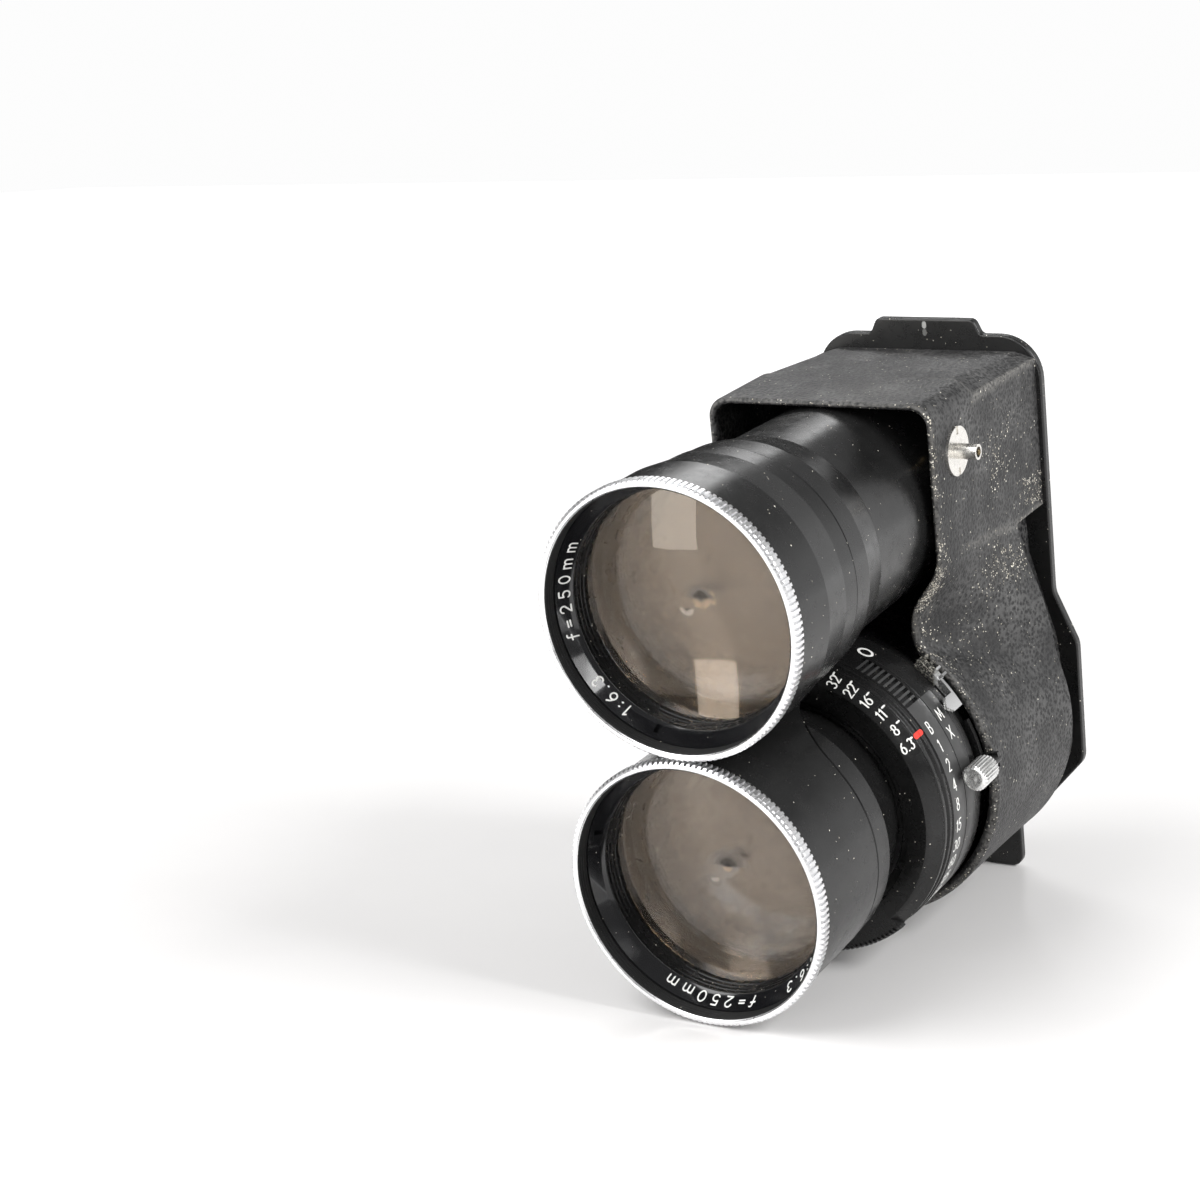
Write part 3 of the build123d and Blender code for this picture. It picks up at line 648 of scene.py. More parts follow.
def engrave(name, strokes, place, body, material=WHITE, width=0.24, step=0.2):
    """Paint strokes laid on a surface. place(u, v) gives a surface point and its outward normal."""
    points, faces = [], []
    for stroke in strokes:
        sections = stroke_sections(resample(stroke, step), width)
        first = len(points)
        for (x, y), (ax, ay) in sections:
            for side, lift in ((1, PAINT_LIFT), (-1, PAINT_LIFT), (-1, -PAINT_SINK), (1, -PAINT_SINK)):
                spot, normal = place(x + side * ax, y + side * ay)
                points.append(tuple(Vector(spot) + lift * Vector(normal)))
        for k in range(len(sections) - 1):
            i = first + 4 * k
            for m in range(4):
                n = (m + 1) % 4
                faces.append((i + m, i + n, i + 4 + n, i + 4 + m))
        end = first + 4 * (len(sections) - 1)
        faces += [tuple(first + m for m in range(4)), tuple(end + m for m in reversed(range(4)))]
    return piece(name, points, faces, material, body)


def cone_surface(y0, r0, y1, r1):
    """radius and outward normal (in y, r) of the cone through two (y, r) points."""
    slope = (r1 - r0) / (y1 - y0)
    length = hypot(1, slope)
    return (lambda y: r0 + slope * (y - y0)), (-slope / length, 1 / length)


def scale_place(angle, y, surface, width, height):
    """Scale lettering: up is anticlockwise and right is backward, centred on (angle, y)."""
    r_at, (ny, nr) = surface

    def place(u, v):
        yy = y + u - width / 2
        r = r_at(yy)
        a = radians(angle) - (v - height / 2) / r
        return (r * sin(a), yy, r * cos(a)), (nr * sin(a), ny, nr * cos(a))

    return place


def name_place(angle, axis_z, height):
    """Name ring lettering: reads clockwise with its tops outward, starting at angle."""
    inner, outer = NAME_CONE[1], NAME_CONE[0]
    length = hypot(outer[0] - inner[0], outer[1] - inner[1])
    along = ((outer[0] - inner[0]) / length, (outer[1] - inner[1]) / length)
    normal = (-along[1], along[0])
    base = (length - height) / 2
    r_mid = (inner[1] + outer[1]) / 2

    def place(u, v):
        y = inner[0] + along[0] * (base + v)
        r = inner[1] + along[1] * (base + v)
        a = radians(angle) + u / r_mid
        return ((r * sin(a), y, axis_z + r * cos(a)),
                (normal[1] * sin(a) * -1, normal[0], normal[1] * cos(a) * -1))

    return place


# ---------------------------------------------------------------- front ends, the same on both lenses
TEETH = 144
THREAD_PITCH = 0.75
NAME_CONE = ((NAME_FRONT, 23.35), (NAME_BACK, 21.6))


def knurled_rim(name, axis_z):
    """Bright rim: a flat land, a bevel cut by the knurl, and the filter thread inside."""
    bore, groove_r = FILTER_R, RIM_R - 0.42
    thread, y = [], NAME_FRONT - 0.25
    while y > FRONT_Y + 0.7:
        thread += [(y, bore), (y - THREAD_PITCH / 2, bore - 0.22)]
        y -= THREAD_PITCH
    outline = [
        (FRONT_Y + 0.35, bore), (FRONT_Y + 0.02, bore + 0.2), (FRONT_Y, bore + 0.3), (FRONT_Y, RIM_R - 0.62),
        (FRONT_Y + 0.12, RIM_R - 0.40), (FRONT_Y + 0.35, RIM_R - 0.14), (FRONT_Y + 0.62, RIM_R),
        (RIM_BACK - 0.15, RIM_R),
        (RIM_BACK, RIM_R - 0.12), (RIM_BACK, 24.05), (NAME_FRONT, 24.05), (NAME_FRONT, bore)] + thread
    pitch = 360 / TEETH
    angles = [k * pitch + part for k in range(TEETH)
              for part in (0.0, 0.42, 0.62, pitch / 2 + 0.3, pitch - 0.62, pitch - 0.42)]

    def relief(y, r, angle):
        off = min(angle % pitch, pitch - angle % pitch)
        deep = max(0.0, min(1.0, (0.62 - off) / 0.2))
        if r > groove_r and y < RIM_BACK + 0.01:
            r -= (r - groove_r) * deep
        return y, r

    def kind(a, b):
        return 1 if max(a[1], b[1]) <= bore + 0.001 else 0

    lathe(name + "_knurled_rim", outline, [RIM, MATT], axis_z=axis_z, angles=angles, relief=relief,
          kind=kind,
          stands_for=[name + "_rim"], slot="rim_aluminium", sharp=25)


def name_ring(name, axis_z, notches):
    """Glossy cone with two square spanner notches."""
    (y0, r0), (y1, r1) = NAME_CONE
    outline = [(y0, r0), (y0, r0 + 0.2), (y1, r0 + 0.2), (y1, r1), (y1 - 0.12, r1 - 0.02)]
    middle, half = [], 1.25
    for share in (0.2, 0.3, 0.62, 0.72):
        middle.append((y1 + (y0 - y1) * share, r1 + (r0 - r1) * share))
    outline += middle
    edges = [notch + side * half for notch in notches for side in (-1, 1)]
    inside = middle[1:3]

    def relief(y, r, angle):
        cut = any(abs((angle - notch + 180) % 360 - 180) < half for notch in notches)
        if cut and (y, r) in inside:
            return y + 0.45, r + 0.75
        return y, r

    lathe(name + "_name_cone", outline, GLOSS, axis_z=axis_z, angles=steps_at(edges), relief=relief,
          stands_for=[name + "_name_ring"], slot="gloss_black", sharp=24)


def stepped_retainer(name, axis_z):
    y0, y1 = NAME_BACK, RETAIN_BACK
    inner, r, y = [], 21.5, y0 + 0.05
    for drop in (0.0, 0.12, 0.12, 0.14):
        r -= drop
        inner += [(y, r), (y + 0.8, r + 0.02)]
        y += 0.95
    inner[-1] = (y1, 21.05)
    outline = soften([(y0, 21.75), (y0, 22.85), (y1, 22.85)] + inner[::-1], 0.05)
    lathe(name + "_stepped_retainer", outline, RING_BLACK, axis_z=axis_z,
          stands_for=[name + "_front_retainer"],
          slot="anodised_black")


def tube_inside(back_y):
    """Inner half of a front tube's outline, from its back end to the rim."""
    return [(back_y, GLASS_R + 0.02), (RETAIN_BACK, GLASS_R + 0.02), (RETAIN_BACK, 22.92),
            (NAME_BACK, 22.92),
            (NAME_BACK, NAME_CONE[0][1] + 0.22), (NAME_FRONT, NAME_CONE[0][1] + 0.22), (NAME_FRONT, 24.02),
            (RIM_BACK, 24.02)]


def ridges(y0, y1, r, deep=0.3, pitch=0.85):
    """Glare-cutting ridges inside a bore, from y0 back to y1."""
    count = round((y1 - y0) / pitch)
    points = []
    for k in range(count):
        y = y0 + (y1 - y0) * k / count
        points += [(y, r), (y + 0.25 * pitch, r - deep), (y + 0.6 * pitch, r - deep)]
    return points + [(y1, r)]


# ---------------------------------------------------------------- viewing lens barrel
def viewing_barrel():
    joint_1, joint_2 = back("viewing_front_tube"), front("viewing_rear_tube") + 3
    outline = [(RIM_BACK, 24.3), (-97.0, 24.3), (-89.0, 23.38), (joint_1 - 0.30, 23.22),
               (joint_1 - 0.14, 22.8), (joint_1, 22.7)]
    lathe("viewing_front_barrel", outline + tube_inside(joint_1), BARREL, axis_z=VIEW_Z,
          stands_for=["viewing_front_tube"], slot="anodised_black", sharp=3)
    start = front("viewing_mid_tube")
    outline = [(joint_1 + 0.02, 22.7), (joint_1 + 0.12, 22.85), (joint_1 + 0.30, 23.04), (-78.5, 22.72),
               (joint_2 - 0.25, 21.22), (joint_2, 20.9),
               (joint_2, 19.6), (joint_2 - 3, 19.6)]
    inside = ridges(start, joint_2 - 5, 20.2)[::-1]
    lathe("viewing_mid_barrel", outline + inside + [(start, GLASS_R), (joint_1 + 0.02, GLASS_R)],
          [BARREL, RING_BLACK],
          axis_z=VIEW_Z, kind=lambda a, b: int(max(a[1], b[1]) <= 20.21), stands_for=["viewing_mid_tube"],
          slot="anodised_black", sharp=3)


def rear_barrel():
    joint = front("viewing_rear_tube") + 3
    step = front("viewing_rear_positive") - 10
    end = back("viewing_rear_tube")
    outline = [(joint - 3, 18.4), (joint - 3, 19.58), (joint, 19.58), (joint, 20.75),
               (joint + 0.2, 21.0), (-66.5, 20.75),
               (-50.0, 20.4), (step, 20.4), (step, 16.4), (-2.0, 16.4), (-2.0, 15.5), (end - 0.3, 15.5),
               (end, 15.2),
               (end, 14.0), (-12.0, 14.0), (-12.0, 14.6), (step - 1.5, 14.6), (step - 1.5, 18.4)]
    lathe("viewing_rear_barrel", outline, BARREL, axis_z=VIEW_Z, stands_for=["viewing_rear_tube"],
          slot="anodised_black", sharp=3)


# ---------------------------------------------------------------- taking lens barrel
TONGUE = [(0.0, -72.6), (2.6, -72.9), (4.6, -74.1), (5.6, -76.0), (6.5, -78.0), (8.6, -81.0), (11.5, -83.9),
          (14.5, -85.9), (17.5, -86.6), (18.5, -86.7)]
TUBE_BACK_R = 24.05
SHOULDER_Y = -81.2


def tongue_edge(angle):
    """Back edge of the taking lens's front tube: a tongue reaches back over the neck at the top."""
    off = abs((angle + 180) % 360 - 180)
    if off > 50:
        return TONGUE[-1][1]
    return smooth_through(TONGUE, TUBE_BACK_R * sin(radians(off)))


def tongue_angles():
    fine = [k * 0.6 for k in range(84)]
    return sorted(set(round(a, 3) for a in fine + [360 - a for a in fine[1:]]
                      + [50 + 1.8 * k for k in range(1, 144)]))


def taking_barrel():
    rest = TONGUE[-1][1]
    edge_outer, edge_face, edge_inner = (rest - 0.26, TUBE_BACK_R), (rest, TUBE_BACK_R - 0.22), (rest, 22.95)
    shelf = (rest - 0.3, 22.94)
    outline = [(RIM_BACK, 24.3), (-97.0, 24.3), edge_outer, edge_face, edge_inner, shelf]
    outline = outline + tube_inside(rest - 0.3)

    def relief(y, r, angle):
        if (y, r) in (edge_outer, edge_face, edge_inner):
            y += tongue_edge(angle) - rest
        return y, r

    lathe("taking_front_barrel", outline, BARREL, angles=tongue_angles(), relief=relief,
          stands_for=["taking_front_tube"], slot="anodised_black", sharp=3)
    start = front("taking_mid_tube")
    lip_low, lip_high, lip_top = (rest + 0.1, 22.78), (rest + 0.12, 23.75), (rest + 0.34, 24.0)
    shoulder = [(SHOULDER_Y - 0.3, 23.78), (SHOULDER_Y, 23.6)]
    outline = [lip_low, lip_high, lip_top] + shoulder + [
        (SHOULDER_Y + 0.9, 20.9), (SHOULDER_Y + 1.5, 20.3), (-70.6, 20.3), (-70.6, 19.0), (-64.0, 19.0),
        (-64.0, 17.6),
        (-76.0, 17.6)]
    inside = ridges(start, -77.5, 20.2)[::-1]

    def mid_relief(y, r, angle):
        edge = tongue_edge(angle) + 0.1
        if (y, r) in (lip_low, lip_high, lip_top):
            low = edge - rest - 0.1
            y = min(y + low, SHOULDER_Y - 0.6)
        if edge > SHOULDER_Y - 0.6 and r > 22.78 and y < SHOULDER_Y + 0.1:
            r = 22.78
        return y, r

    lathe("taking_mid_barrel", outline + inside + [(start, GLASS_R), (rest, GLASS_R)], [BARREL, RING_BLACK],
          angles=tongue_angles(), relief=mid_relief, kind=lambda a, b: int(max(a[1], b[1]) <= 20.21),
          stands_for=["taking_mid_tube"], slot="anodised_black", sharp=3)


# ---------------------------------------------------------------- shutter rings
SLEEVE_R = 21.0
APERTURE_FRONT, APERTURE_BACK = front("aperture_ring"), back("aperture_ring")
APERTURE_CONE = ((APERTURE_FRONT + 0.3, 26.6), (APERTURE_BACK - 0.3, 28.5))
GRIP_R, GRIP_HALF, GRIP_PITCH = span("aperture_ring")[2][0] * -1, 42.0, 2.1
INDEX_FRONT, INDEX_BACK = front("index_ring"), back("index_ring")
SPEED_FRONT, SPEED_BACK = front("speed_ring"), back("speed_ring")
CASE_FRONT = SPEED_BACK + 0.1
BAND_BACK = -53.0


def aperture_ring():
    """Bevelled scale ring with a ribbed grip at the bottom."""
    y0, y1 = APERTURE_FRONT, APERTURE_BACK
    cone = [APERTURE_CONE[0], (y0 + 0.9, 27.08), (y0 + 1.6, 27.66), APERTURE_CONE[1]]
    outline = [(y0, 22.8), (y0, 26.25)] + cone + [(y1, 28.4), (y1, 21.1), (y1 - 0.8, 21.1), (y1 - 0.8, 22.8)]
    gap = 0.25 * GRIP_PITCH
    starts = [180 - GRIP_HALF + k * GRIP_PITCH for k in range(40)]
    edges = [a + s for a in starts for s in (gap, GRIP_PITCH - gap)] + [180 - GRIP_HALF, 180 + GRIP_HALF]

    def relief(y, r, angle):
        off = abs(angle - 180)
        if off < GRIP_HALF and r > 26.5:
            along = (angle - 180 + GRIP_HALF) % GRIP_PITCH
            top = GRIP_R if gap < along < GRIP_PITCH - gap else GRIP_R - 0.5
            r = max(r, top - 0.9 * max(0.0, (y0 + 1.0 - y)))
        return y, r

    lathe("aperture_scale_ring", outline, RING_BLACK, "aperture_ring", angles=steps_at(edges), relief=relief,
          stands_for=["aperture_ring"], slot="anodised_black", sharp=20)


def index_ring():
    y0, y1 = INDEX_FRONT, INDEX_BACK
    outline = soften([(y0, SLEEVE_R + 0.02), (y0, 28.2), (y0 + 0.3, 28.5), (-67.3, 28.5),
                      (-67.05, 28.15), (-66.6, 28.15),
                      (-66.35, 28.65), (y1, 28.65), (y1, SLEEVE_R + 0.02)], 0.09)
    lathe("index_band", outline, RING_BLACK, stands_for=["index_ring"], slot="anodised_black", sharp=40)


RIB_START, RIB_PITCH, RIB_COUNT = 22.6, 2.36, 11


def speed_ring():
    """Scale ring with two blocks of raised grip ribs."""
    y0, y1 = SPEED_FRONT, SPEED_BACK
    rib_front, rib_back = y0 + 0.35, y0 + 5.15
    outline = [(y0, 21.1), (y0, SCALE_R - 0.3), (rib_front - 0.05, SCALE_R), (rib_front, SCALE_R - 0.01),
               (rib_back, SCALE_R - 0.01), (rib_back + 0.05, SCALE_R), (y1 - 0.15, SCALE_R),
               (y1, SCALE_R - 0.15), (y1, 27.0),
               (y0 + 1.6, 27.0), (y0 + 1.6, 21.1)]
    centres = [base + RIB_PITCH * k for base in (RIB_START, RIB_START + 180) for k in range(RIB_COUNT)]
    edges = [c + s for c in centres for s in (-0.62, 0.62)]

    def relief(y, r, angle):
        if rib_front - 0.01 < y < rib_back + 0.01 and r > SCALE_R - 0.1:
            if any(abs(angle - c) < 0.62 for c in centres):
                r -= 0.6
        return y, r

    lathe("speed_scale_ring", outline, RING_BLACK, "speed_ring", angles=steps_at(edges, 0.05), relief=relief,
          stands_for=["speed_ring"], slot="anodised_black", sharp=20)


def shutter_case():
    case_back, case_r, wall = back("shutter_case"), 27.4, 1.4
    outline = soften([
        (-70.4, 19.05), (-70.4, SLEEVE_R), (CASE_FRONT, SLEEVE_R), (CASE_FRONT, SCALE_R - 0.2),
        (CASE_FRONT + 0.2, SCALE_R),
        (BAND_BACK - 0.2, SCALE_R), (BAND_BACK, SCALE_R - 0.2), (BAND_BACK, case_r), (case_back, case_r),
        (case_back, case_r - wall), (CASE_FRONT + wall, case_r - wall), (CASE_FRONT + wall, 14.1),
        (-62.4, 14.1),
        (-62.4, 19.05)], 0.08)
    lathe("shutter_drum", outline, RING_BLACK, stands_for=["shutter_case"], slot="anodised_black", sharp=35)


def cocking_knob():
    """Straight-knurled knob with a turned face."""
    (x0, x1), (y0, y1), (z0, z1) = span("cocking_knob")
    knob_r = 0.53 * (x1 - x0)
    outline = [(y1, 0.02), (y0, 0.02), (y0, 0.5), (y0 + 0.04, 0.8), (y0, 1.1), (y0 + 0.03, 1.5),
               (y0, knob_r - 0.55),
               (y0 + 0.12, knob_r - 0.3), (y0 + 0.45, knob_r), (y1 - 0.4, knob_r), (y1 - 0.1, knob_r - 0.3)]
    pitch = 360 / 24
    angles = [k * pitch + part for k in range(24) for part in (0.0, 2.6, 5.0, 10.0, 12.4)]

    def relief(y, r, angle):
        off = min(angle % pitch, pitch - angle % pitch)
        if r > knob_r - 0.1:
            r -= 0.28 * max(0.0, 1 - off / 4.0)
        return y, r

    lathe("knurled_knob", outline, KNOB, "cocking_lever", axis_z=(z0 + z1) / 2, axis_x=(x0 + x1) / 2,
          angles=angles,
          relief=relief, stands_for=["cocking_knob"], slot="bright_metal", sharp=30)


PLATE_START, PLATE_END = 47.0, 141.0


def scale_plates_and_rib_highlights():
    """Paler plates: the engraved scales on speed ring and sync band; and painted highlights, in the same
    paler black, on the tops of the grip ribs.
    """
    lift = 0.02
    # Painted highlight: paler strips on the grip rib tops, standing for the light that the ribs catch.
    for k in range(2 * (RIB_COUNT - 1)):
        side, place = divmod(k, RIB_COUNT - 1)
        middle = RIB_START + 180 * side + RIB_PITCH * (place + 0.5)
        arc_plate(f"rib_top_highlight_{k + 1}", SPEED_FRONT + 0.4, SPEED_FRONT + 5.1, SCALE_R - 0.3,
                  SCALE_R + lift, middle - 0.5,
                  middle + 0.5, PLATE_AND_RIB_HIGHLIGHT, "speed_ring", slot="anodised_black")
    arc_plate("speed_scale_plate", SPEED_FRONT + 0.32, SPEED_BACK - 0.05, SCALE_R - 0.3, SCALE_R + lift,
              PLATE_START,
              PLATE_END, PLATE_AND_RIB_HIGHLIGHT, "speed_ring", slot="anodised_black")
    arc_plate("sync_scale_plate", CASE_FRONT + 0.1, BAND_BACK - 2.2, SCALE_R - 0.3, SCALE_R + lift,
              PLATE_START,
              PLATE_END, PLATE_AND_RIB_HIGHLIGHT, ROOT, slot="anodised_black")


# ---------------------------------------------------------------- scales and marks
SPEEDS = [("B", 57.3), ("1", 64.8), ("2", 72.5), ("4", 80.2), ("8", 87.7), ("15", 96.0), ("30", 104.0),
          ("60", 111.4),
          ("125", 119.0), ("250", 126.8), ("500", 134.4)]
STOPS = [("6.3", 57.5), ("8", 50.0), ("11", 42.4), ("16", 35.1), ("22", 27.7), ("32", 20.4),
         ("45", 13.0), ("64", 6.0)]
SPEED_SURFACE = ((lambda y: SCALE_R + 0.02), (0.0, 1.0))
SCALE_HEIGHT = 2.3


def scale_text(name, text, angle, y, surface, body, height=SCALE_HEIGHT, spread=0.75, width=0.26):
    strokes, across = line_of_text(text, height, spread)
    engrave(name, strokes, scale_place(angle, y, surface, across, height), body, width=width)


def scales():
    for text, angle in SPEEDS:
        label = "speed_" + text
        spread = 0.75 if len(text) < 3 else 0.62
        scale_text(label, text, angle, -62.9, SPEED_SURFACE, "speed_ring", spread=spread)
    cone = cone_surface(*APERTURE_CONE[0], *APERTURE_CONE[1])
    for text, angle in STOPS:
        label = "stop_" + text.replace(".", "_")
        spread = 0.55 if len(text) == 3 else 0.6
        scale_text(label, text, angle, APERTURE_FRONT + 1.3, cone, "aperture_ring", height=2.0,
                   spread=spread, width=0.22)
        tick = [[(0.0, 0.0), (0.35, 0.0)]]
        engrave("tick_" + text.replace(".", "_"), tick,
                scale_place(angle - 1.6, APERTURE_BACK - 0.55, cone, 0.35, 0.0),
                "aperture_ring", width=0.36)
    for text, angle in (("M", 55.9), ("X", 63.6)):
        scale_text("sync_" + text, text, angle, -57.6, SPEED_SURFACE, ROOT, height=2.2, spread=0.9)
    ring_mark, across = line_of_text("O", 2.7, 1.05)
    engrave("ring_mark", ring_mark,
            scale_place(20.6, -58.0, ((lambda y: SCALE_R), (0.0, 1.0)), across, 2.7), ROOT,
            width=0.5)


INDEX_ANGLE = 56.5


def red_index():
    """Red mark across the index ring."""
    def place(u, v):
        r = 28.66 if u > 1.75 else 28.51
        a = radians(INDEX_ANGLE) - v / r
        return (r * sin(a), INDEX_FRONT + 0.35 + u, r * cos(a)), (sin(a), 0, cos(a))

    bar = [[(0.35, 0.0), (2.4, 0.0)]]
    engrave("red_index", bar, place, ROOT, RED, width=1.15, step=0.1)


NAME_TEXT = {
    "viewing": [("f=250mm", 253.0, 1.42), ("1:6.3", 212.6, 1.1)],
    "taking": [("f=250mm", 160.6, 1.42), ("1:6.3", 120.5, 1.1)],
}
NAME_HEIGHT = 2.15


def name_lettering():
    for name, axis_z in (("viewing", VIEW_Z), ("taking", 0.0)):
        for text, angle, spread in NAME_TEXT[name]:
            kind = "focal_length" if "f" in text else "speed"
            strokes = []
            at = 0.0
            for letter in text:
                shapes, width = line_of_text(letter, NAME_HEIGHT)
                strokes += [[(x + at, y) for x, y in stroke] for stroke in shapes]
                at += width + 1.05 * spread
            engrave(f"{name}_{kind}", strokes, name_place(angle, axis_z, NAME_HEIGHT), ROOT, width=0.27)


def tab_marks():
    """Index dots on the lens board's top tab."""
    y = front("lens_board")
    for name, z, half, material in (("tab_mark_upper", 74.4, 0.3, GREY_MARK),
                                    ("tab_mark_lower", 72.9, 0.25, DIM_MARK)):
        def place(u, v, z=z):
            return (u, y, z + v), (0, -1, 0)
        engrave(name, [[(0.0, -half), (0.0, half)]], place, ROOT, material, width=0.9, step=0.2)


# ---------------------------------------------------------------- housing
HOUSE_FRONT, FLARE_BACK, HOUSE_BACK = front("housing_shell"), -15.0, back("housing_shell")
BOX_HALF, BOX_CORNER = 22.8, 4.0
BOX_WALL, CUP_WALL = 1.2, 2.0
ROOF_CREASE = -32.0
ROOF_COUNT, CORNER_COUNT, SIDE_COUNT, WAIST_COUNT, CUP_COUNT = 14, 10, 26, 34, 60


def hermite(p0, t0, p1, t1, t):
    a, b = 2 * t**3 - 3 * t**2 + 1, t**3 - 2 * t**2 + t
    c, d = 3 * t**2 - 2 * t**3, t**3 - t**2
    return tuple(a * p0[k] + b * t0[k] + c * p1[k] + d * t1[k] for k in range(2))


def half_section(wall, cup_r, crease, meet, waist):
    """Right half of a flare section, from the roof's middle round to the cup's lowest point."""
    half, top, corner = BOX_HALF - wall, BOX_TOP - wall, BOX_CORNER - wall / 2
    points = [((half - corner) * k / ROOF_COUNT, top) for k in range(ROOF_COUNT)]
    for k in range(CORNER_COUNT):
        a = radians(90 * k / CORNER_COUNT)
        points.append((half - corner + corner * sin(a), top - corner + corner * cos(a)))
    points += [(half, top - corner + (crease - top + corner) * k / SIDE_COUNT) for k in range(SIDE_COUNT)]
    a = radians(meet)
    meet_point = (cup_r * sin(a), cup_r * cos(a))
    waist = (waist[0] - wall, waist[1])
    first = hypot(waist[0] - half, waist[1] - crease)
    second = hypot(meet_point[0] - waist[0], meet_point[1] - waist[1])
    chord = ((meet_point[0] - half) / (first + second), (meet_point[1] - crease) / (first + second))
    for k in range(WAIST_COUNT):
        t = k / WAIST_COUNT
        share = first / (first + second)
        if t < share:
            points.append(hermite((half, crease), (0, -first), waist,
                                  (chord[0] * first, chord[1] * first), t / share))
        else:
            start = (chord[0] * second, chord[1] * second)
            end = (cos(a) * second, -sin(a) * second)
            points.append(hermite(waist, start, meet_point, end, (t - share) / (1 - share)))
    for k in range(CUP_COUNT + 1):
        a = radians(meet + (180 - meet) * k / CUP_COUNT)
        points.append((cup_r * sin(a), cup_r * cos(a)))
    return points


def flare_section(y, box_wall, cup_wall):
    share = (y - HOUSE_FRONT) / (FLARE_BACK - HOUSE_FRONT)
    ahead = half_section(box_wall, 31.0 - cup_wall, 43.0, 37.0, (16.9, 31.5))
    behind = half_section(box_wall, 32.0 - cup_wall, 39.5, 72.0, (27.6, 22.5))
    section = [tuple(a[k] + (b[k] - a[k]) * share for k in range(2)) for a, b in zip(ahead, behind)]
    return [(x, under_roof(x, y, z, box_wall)) for x, z in section]


def under_roof(x, y, z, wall):
    """Height limited by the roof, which slopes down behind the crease and is bevelled at its sides."""
    if y <= ROOF_CREASE:
        return z
    share = (y - ROOF_CREASE) / -ROOF_CREASE
    ridge = 71.9 + (69.3 - 71.9) * share
    edge = 67.1 + 0.1 * share
    side = max(0.0, (abs(x) - 18.9) / 7.1)
    return min(z, ridge + (edge - ridge) * side - wall)


NECK_LINE = [(22.8, 38.9), (19.5, 37.5), (19.0, 36.5), (19.4, 28.5), (24.1, 11.5), (26.3, -11.0),
             (25.6, -14.2),
             (13.8, -30.6), (12.2, -31.5), (0.0, -31.5)]


def neck_section(y, wall):
    """Section of the neck between the flare and the lens board, point for point with a flare section."""
    top = half_section(wall, 31.0, 38.9, 72.0, (27.6, 22.5))[:ROOF_COUNT + CORNER_COUNT + SIDE_COUNT]
    line = resample(NECK_LINE, 0.4)
    lengths = [0.0]
    for a, b in zip(line, line[1:]):
        lengths.append(lengths[-1] + hypot(b[0] - a[0], b[1] - a[1]))
    count = WAIST_COUNT + CUP_COUNT
    lower = []
    for k in range(count + 1):
        target = lengths[-1] * k / count
        spot = next((i for i, length in enumerate(lengths) if length >= target - 1e-9), len(line) - 1)
        x, z = line[spot]
        lower.append((max(0.0, x - wall), max(z, -31.5 + wall)))
    return [(x, under_roof(x, y, z, wall)) for x, z in top + lower]


def mirrored(half):
    """The whole section from its right half, clockwise from the roof's middle."""
    return half + [(-x, z) for x, z in half[-2:0:-1]]


def bell(value, centre, reach):
    """1 at the centre, falling to 0 at the reach."""
    return max(0.0, 1 - abs(value - centre) / reach)


def dust_at(x, y, z, inside):
    """How thick the dust lies: along the front edge at the waist, below the side crease, by the socket."""
    from_edge = y - HOUSE_FRONT
    right = 1.0 if x > 0 else 0.4
    amount = 0.012
    amount += 1.3 * bell(z, 34, 14) * max(0.0, 1 - from_edge / 4.5) * right
    amount += 0.75 * bell(z, 50, 24) * max(0.0, 1 - from_edge / 1.3) * right
    amount += 0.55 * bell(z, 34.0 - 0.10 * (y + 25), 6) * bell(y, -24, 13) * right
    amount += 0.40 * bell(y, -6, 7) * bell(z, 43, 5) * right
    amount += 0.16 * bell(y, -22, 10) * bell(z, 54, 8) * right
    amount += 0.08 * bell(y, -40, 16) * bell(z, 22, 12) * right
    if z < 22:
        amount += 0.16 * max(0.0, 1 - from_edge / 2.5)
    return amount * (0.5 if inside else 1.0)


def wear_and_highlight_at(x, y, z):
    """Where the paint is rubbed pale and where pale lines are painted on as highlights: front lip, roof
    crease, side bevels and side creases.
    """
    wear_and_highlight = 0.30 * max(0.0, 1 - abs(y - HOUSE_FRONT) / 0.9)
    if z > 66:
        wear_and_highlight += 0.30 * max(0.0, 1 - abs(y - ROOF_CREASE) / 1.0) * bell(abs(x), 20, 8)
        wear_and_highlight += 0.16 * bell(x, 8, 14) * bell(y, -42, 12)
        if y > ROOF_CREASE:
            wear_and_highlight += 0.75 * bell(abs(x), BOX_HALF, 0.5) * bell(z, 68.7, 1.5)
    crease = 43.0 + (39.0 - 43.0) * (y - HOUSE_FRONT) / (FLARE_BACK - HOUSE_FRONT)
    wear_and_highlight += 0.65 * bell(z, max(crease, 38.9), 0.8) * max(0.0, min(1.0, (y + 44) / 14))
    return min(1.0, wear_and_highlight)


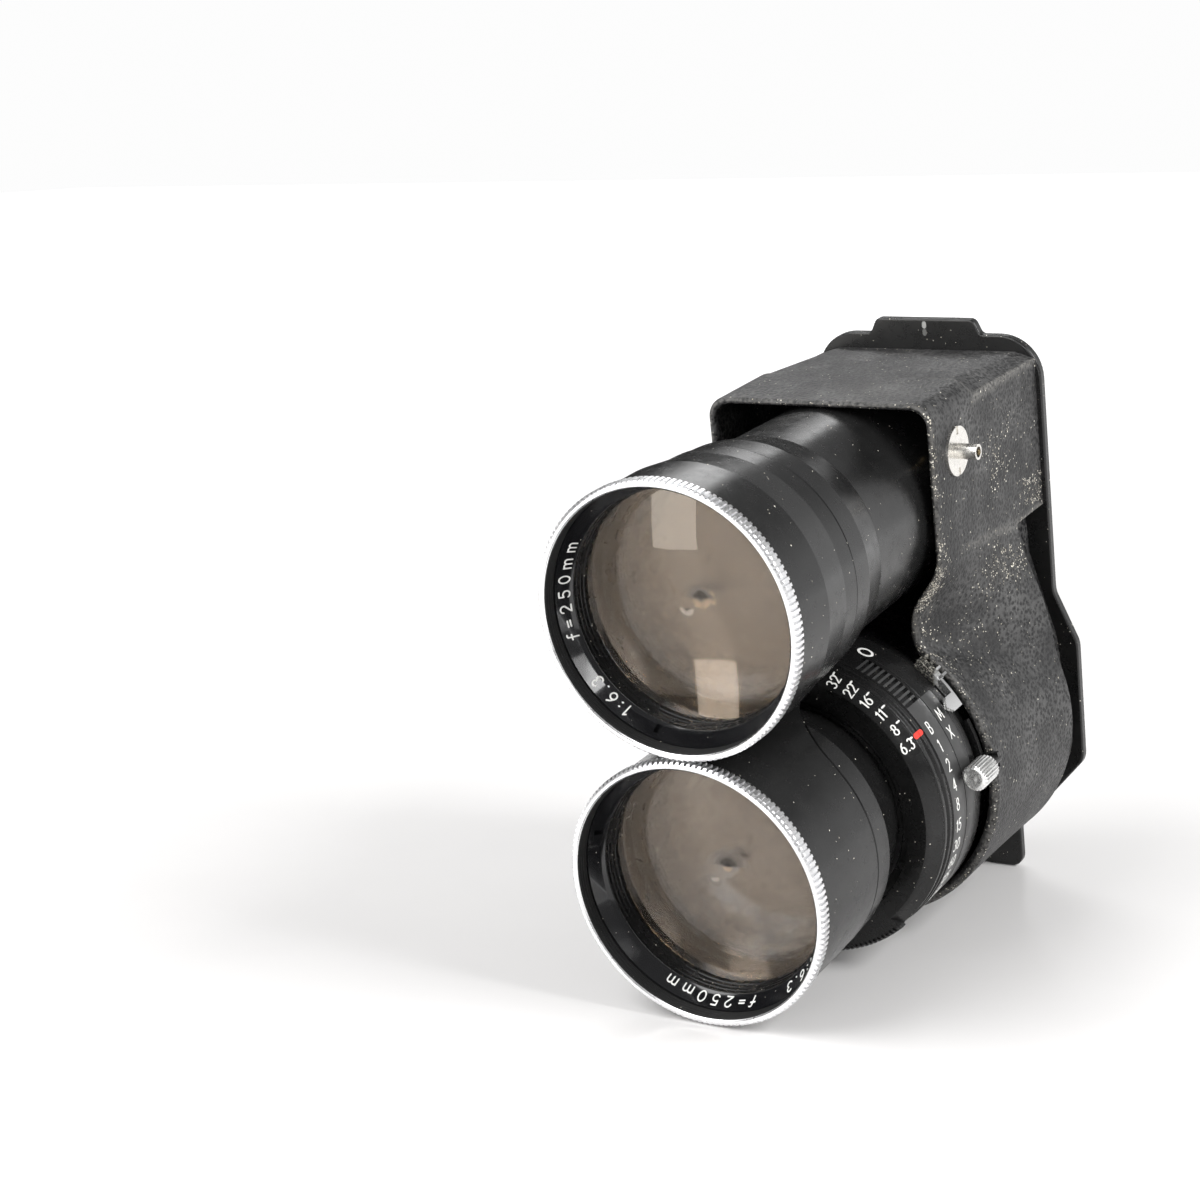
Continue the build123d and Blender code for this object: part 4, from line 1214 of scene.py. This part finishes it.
def housing():
    """Flared housing: a closed skin from the neck's outside, round the front lip, to the neck's inside."""
    sections = []
    for y in (HOUSE_BACK, -6.0, -10.0, FLARE_BACK + 0.6):
        sections.append((y, neck_section(y, 0.0), False))
    rows = [FLARE_BACK, FLARE_BACK - 0.25] + [-16.0 - k for k in range(16)] + [ROOF_CREASE, -32.3, -33.0]
    rows += [-34.0 - k for k in range(15)] + [-49.2]
    for y in rows:
        inset = 0.25 if y == FLARE_BACK else 0.0
        sections.append((y, flare_section(y, 0.0, inset), False))
    for turn in (15, 35, 55, 75, 90, 105, 125, 145, 165):
        a = radians(turn)
        share = (1 - cos(a)) / 2
        depth = HOUSE_FRONT + 0.75 * (1 - sin(a))
        sections.append((depth, flare_section(depth, BOX_WALL * share, CUP_WALL * share), turn > 90))
    for y in [-49.2] + [-47.0 + 3.0 * k for k in range(11)]:
        sections.append((y, flare_section(y, BOX_WALL, CUP_WALL), True))
    for y in (-15.5, -10.0, -6.0, HOUSE_BACK):
        sections.append((y, neck_section(y, 2.4), True))
    points, dust, wear_and_highlight = [], [], []
    for y, half, inside in sections:
        for x, z in mirrored(half):
            points.append((x, y, z))
            dust.append(dust_at(x, y, z, inside))
            wear_and_highlight.append(0.0 if inside else wear_and_highlight_at(x, y, z))
    n = len(mirrored(sections[0][1]))
    faces = []
    for i in range(len(sections)):
        j = (i + 1) % len(sections)
        for k in range(n):
            m = (k + 1) % n
            faces.append((i * n + k, i * n + m, j * n + m, j * n + k))
    shell = piece("crinkled_housing", points, faces, HOUSING_PAINT, ROOT, stands_for=["housing_shell"],
                  slot="crinkle_black", sharp=28)
    for name, values in (("dust", dust), ("wear_and_highlight", wear_and_highlight)):
        marks = shell.data.attributes.new(name, "FLOAT", "POINT")
        marks.data.foreach_set("value", values)


# ---------------------------------------------------------------- build everything
def build():
    dress_frame()
    knurled_rim("viewing", VIEW_Z)
    knurled_rim("taking", 0.0)
    name_ring("viewing", VIEW_Z, (197.0, 17.0))
    name_ring("taking", 0.0, (288.5, 108.5))
    for name, axis_z in (("viewing", VIEW_Z), ("taking", 0.0)):
        stepped_retainer(name, axis_z)
    viewing_barrel()
    rear_barrel()
    taking_barrel()
    aperture_ring()
    index_ring()
    speed_ring()
    shutter_case()
    cocking_knob()
    scale_plates_and_rib_highlights()
    scales()
    red_index()
    name_lettering()
    tab_marks()
    housing()


def add_floor():
    """Pale floor under the two points that the unit rests on: the lower rim and the bottom tab."""
    rim_y, rim_z = front("taking_rim"), span("taking_rim")[2][0]
    tab_y, tab_z = front("lens_board"), span("lens_board")[2][0]
    slope = atan2(tab_z - rim_z, tab_y - rim_y)
    mesh = bpy.data.meshes.new("floor")
    reach = 4.0
    mesh.from_pydata([(-reach, -reach, 0), (reach, -reach, 0), (reach, reach, 0), (-reach, reach, 0)],
                     [], [(0, 1, 2, 3)])
    mesh.materials.append(floor_white_glowing_far())
    floor = bpy.data.objects.new("floor", mesh)
    rest_y = (rim_y + tab_y) / 2
    rest_z = (rim_z + tab_z) / 2 - 0.05
    floor.matrix_world = Matrix.Translation((0, rest_y * MM, rest_z * MM)) @ Matrix.Rotation(slope, 4, "X")
    bpy.context.scene.collection.objects.link(floor)


build()
add_floor()
add_camera()
add_world()
area_light("key", (-0.50, -0.70, 0.95), (0, -0.06, 0.02), (1.0, 1.0), 15)
area_light("side", (0.85, 0.00, 0.60), (0, -0.05, 0.02), (0.5, 0.5), 11)
area_light("overhead", (-0.45, 0.70, 0.66), (0, -0.05, 0.03), (0.60, 0.40), 3.0)
window = area_light("window", (-0.175, -0.380, 0.080), (0, -0.10, 0.05), (0.07, 0.13), 0.17,
                    (1.0, 0.95, 0.88))
window.visible_diffuse = False
area_light("fill", (0.05, -1.10, 0.30), (0, -0.05, 0.03), (0.5, 0.4), 4.0)
add_flag("flag", [(-0.36, 0.02, 0.02), (-0.03, 0.20, 0.02), (-0.03, 0.20, 0.15), (-0.36, 0.02, 0.15)])
bpy.context.scene.view_settings.view_transform = "Standard"
